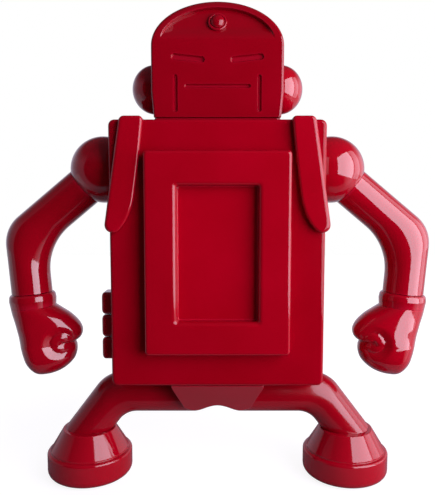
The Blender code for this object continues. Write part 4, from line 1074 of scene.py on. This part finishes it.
def line_distance(point, start, end):
    along = (point - start).dot(end - start) / (end - start).length_squared
    return (point - start - (end - start) * min(max(along, 0.0), 1.0)).length


def hollowed(spot):
    """What is left of the thickness at a spot, after the curl of the fingers and the slit beside it."""
    reach = (spot - CURL).length
    dish = CURL_DEPTH * (1 - ease(reach, CURL_RADIUS, CURL_REACH))
    groove = 0.03 * (1 - ease(abs(reach - CURL_RADIUS), 0.2, 1.0))
    boss = 0.05 * max(1 - (reach / CURL_RADIUS) ** 2, 0.0)
    dimple = 0.05 * (1 - ease(reach, 0.6, 2.6))
    slit = 0.08 * (1 - ease(line_distance(spot, CURL, NOTCH + (NOTCH - CURL)), 0.3, 1.5))
    return 1 - dish - groove + boss - dimple - slit


def fist_slices(steps=100):
    """Distances along the hand, closer together towards its end."""
    return [NECK_END + (FIST_END - NECK_END) * sin(turn) for turn in turns_to(pi / 2, steps)[:-1]]


def signed_power(value, power):
    return copysign(abs(value) ** power, value)


def fist_section(along, edges, turns):
    """The hand's outline at a distance along it, as pairs of across and depth."""
    left, right = [across_at(edge, along) for edge in edges]
    swell = (FIST_DEPTH - CUFF_END_RADIUS) * min((along - NECK_END) / FIST_SWELL, 1.0)
    closing = max(along - FIST_CLOSING, 0) / (FIST_END - FIST_CLOSING)
    thick = (CUFF_END_RADIUS + swell) * (1 - closing ** 3) ** (1 / 2.4)
    formed = ease(along, NECK_END, FIST_FORMED)
    middle = left + (right - left) * (0.5 - 0.16 * formed)
    power = 2 / (2.0 + 0.2 * formed)
    section = []
    for turn in turns:
        half = right - middle if cos(turn) > 0 else middle - left
        across = middle + half * signed_power(cos(turn), power)
        depth = thick * signed_power(sin(turn), power)
        section.append((across, depth * hollowed(Vector((across, along)))))
    return section


def make_fist(word, side):
    """A closed hand, with a round neck that plugs into the cuff."""
    wrist, down = mirrored(WRIST, side), mirrored(FOREARM, side)
    inward = Vector((side * down.z, 0, -side * down.x)).normalized()
    edges = hand_edges()
    turns = circle(FIST_SIDES)
    radius = CUFF_BORE - GAP
    neck = [(radius * cos(turn), radius * sin(turn)) for turn in turns]
    sections = [(NECK_TOP, [(0, 0)]), (NECK_TOP, neck), (NECK_END - GAP / 2, neck)]
    sections += [(along, fist_section(along, edges, turns)) for along in fist_slices()]
    sections.append((FIST_END, [(edges[0][-1].x, 0)]))
    rings = []
    for along, section in sections:
        centre = wrist + down * along
        rings.append([centre + inward * across + Vector((0, depth, 0)) for across, depth in section])
    place(build(f"fine_{word}_fist", rings), word + "_hand", "hand_red")


# Light, floor and camera

def add_softbox(name, x, y, width, radiance):
    """A rectangular lamp, in metres, whose face shines with the given radiance."""
    lamp = bpy.data.lights.new(name, "AREA")
    lamp.shape = "RECTANGLE"
    lamp.size, lamp.size_y = width, LIGHT_TALL
    lamp.energy = radiance * pi * width * LIGHT_TALL
    lamp.color = DAYLIGHT
    obj = new_object(name, lamp)
    obj.location = (x, y, LIGHT_HEIGHT)
    obj.rotation_euler = LIGHT_WAY.to_track_quat("-Z", "Y").to_euler()


def make_lights():
    add_softbox("window", 0.3925, -0.425, 0.624, 4.6)
    add_softbox("side_wall", 0.63, 0.018, 0.3, 1.3)


def cleared_tree(owner):
    owner.use_nodes = True
    owner.node_tree.nodes.clear()
    return owner.node_tree


def combine(tree, kind, *sources):
    """A node whose inputs, in their order, are linked to the sources."""
    node = tree.nodes.new(kind)
    for socket, source in zip(node.inputs, sources):
        tree.links.new(source, socket)
    return node


def seen_directly(tree):
    """Whether a ray is from the camera or through a clear surface, and whether it is mirrored."""
    rays = tree.nodes.new("ShaderNodeLightPath").outputs
    either = combine(tree, "ShaderNodeMath", rays["Is Camera Ray"], rays["Is Transmission Ray"])
    either.operation = "MAXIMUM"
    return either.outputs[0], rays["Is Glossy Ray"]


def mix_shaders(tree, amount, first, second):
    return combine(tree, "ShaderNodeMixShader", amount, first, second).outputs[0]


def add_shaders(tree, first, second):
    return combine(tree, "ShaderNodeAddShader", first, second).outputs[0]


def room_colour(tree, way):
    """A grey room that is dark overhead and near the viewer, and bright on the left of the robot."""
    ramp = combine(tree, "ShaderNodeValToRGB", spread(tree, way["Y"], -1, 1))
    stops = ramp.color_ramp.elements
    stops[0].position, stops[0].color = 0.25, (0.01, 0.01, 0.01, 1)
    stops[1].position, stops[1].color = 0.29, (0.2, 0.18, 0.24, 1)
    for position, brightness in ((0.5, 0.25), (0.85, 0.5)):
        stops.new(position).color = (brightness, brightness * 0.93, brightness * 1.15, 1)
    bright_side = spread(tree, way["X"], 0.55, 0.85)
    walls = blend(tree, bright_side, ramp.outputs["Color"], (0.9, 0.86, 1.0))
    return blend(tree, spread(tree, way["Z"], 0.3, 0.65), walls, (0.04, 0.04, 0.05))


def make_world():
    """White behind the object, and round it a room, with a fill from behind that mirrors don't show."""
    world = bpy.data.worlds.new("studio")
    bpy.context.scene.world = world
    tree = cleared_tree(world)
    place = tree.nodes.new("ShaderNodeTexCoord").outputs["Generated"]
    way = combine(tree, "ShaderNodeSeparateXYZ", place).outputs
    white = add_node(tree, "ShaderNodeBackground", Color=(1, 1, 1, 1))
    room = add_node(tree, "ShaderNodeBackground", Color=room_colour(tree, way))
    behind = spread(tree, way["Y"], 0.1, 0.7, 0.08, 0.9)
    fill = add_node(tree, "ShaderNodeBackground", Color=(1, 0.97, 1.06, 1), Strength=behind)
    direct, glossy = seen_directly(tree)
    around = mix_shaders(tree, glossy, add_shaders(tree, room, fill), room)
    combine(tree, "ShaderNodeOutputWorld", mix_shaders(tree, direct, around, white))


def floor_material():
    """Paper that the viewer sees as white and that mirrors show darker, with a plain bounce."""
    material = bpy.data.materials.new("floor_paper")
    tree = cleared_tree(material)
    paper = add_node(tree, "ShaderNodeBsdfDiffuse", Color=(0.22, 0.21, 0.235, 1))
    bounce = add_node(tree, "ShaderNodeBsdfDiffuse", Color=(0.45, 0.43, 0.48, 1))
    position = tree.nodes.new("ShaderNodeNewGeometry").outputs["Position"]
    length = combine(tree, "ShaderNodeVectorMath", position)
    length.operation = "LENGTH"
    distance = length.outputs["Value"]
    near = spread(tree, distance, 0.18, 0.5, 0.88, 1.0)
    far = spread(tree, distance, 0.2, 0.45, 0.0, 0.35)
    seen = add_shaders(tree, paper, add_node(tree, "ShaderNodeEmission", Color=(1, 1, 1, 1), Strength=near))
    glow = add_node(tree, "ShaderNodeEmission", Color=(0.95, 0.9, 1.0, 1), Strength=far)
    direct, glossy = seen_directly(tree)
    around = mix_shaders(tree, glossy, bounce, add_shaders(tree, paper, glow))
    combine(tree, "ShaderNodeOutputMaterial", mix_shaders(tree, direct, around, seen))
    return material


def make_floor():
    """A white sweep as the background, with the object's soft shadow on it."""
    outline = rounded_box(FLOOR_HALF, 60, (0, FLOOR_FRONT + FLOOR_HALF[1]))
    floor = build("floor", [level(outline, 0), level(outline, -12)])
    floor.data.materials.append(floor_material())


def make_camera():
    data = bpy.data.cameras.new("camera")
    data.sensor_width = SENSOR
    data.lens = SENSOR * FOCAL_LENGTH / IMAGE_HEIGHT
    data.clip_start = CLIP_START
    camera = new_object("camera", data)
    camera.location = CAMERA_PLACE
    camera.rotation_euler = (CAMERA_PITCH, 0, 0)
    bpy.context.scene.camera = camera


def finish_inner_nodes():
    """Give each CAD node that stays in view the procedural material of its own slot."""
    for name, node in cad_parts.items():
        if "fine_" + name in bpy.data.objects:
            continue
        for mesh_slot in node.material_slots:
            slot = mesh_slot.material.name.split(".")[0]
            mesh_slot.link = "OBJECT"
            mesh_slot.material = finishes[slot]


def main():
    make_leg_arch()
    make_pelvis_cover()
    make_torso_shell()
    make_back_cover()
    make_chest_frame()
    make_panel()
    make_keys()
    make_neck_plate()
    make_battery_door()
    make_head_front()
    make_head_rear()
    for word, side in SIDES.items():
        make_ear(word, side)
    make_lamp()
    limbs = make_boot, make_sole, make_strap, make_shoulder_ball, make_arm, make_cuff, make_fist
    for word, side in SIDES.items():
        for make_piece in limbs:
            make_piece(word, side)
    for number, spot in enumerate(COVER_SCREW_SPOTS, 1):
        make_screw(f"cover_screw_{number}", "torso", spot, COVER_SCREW)
    for number, spot in enumerate(HEAD_SCREW_SPOTS, 1):
        make_screw(f"head_screw_{number}", "head", spot, HEAD_SCREW)
    make_screw("battery_door_screw", "torso", DOOR_SCREW_SPOT, DOOR_SCREW)
    finish_inner_nodes()
    make_world()
    make_floor()
    make_lights()
    make_camera()
    bpy.context.scene.view_settings.view_transform = "Standard"


main()
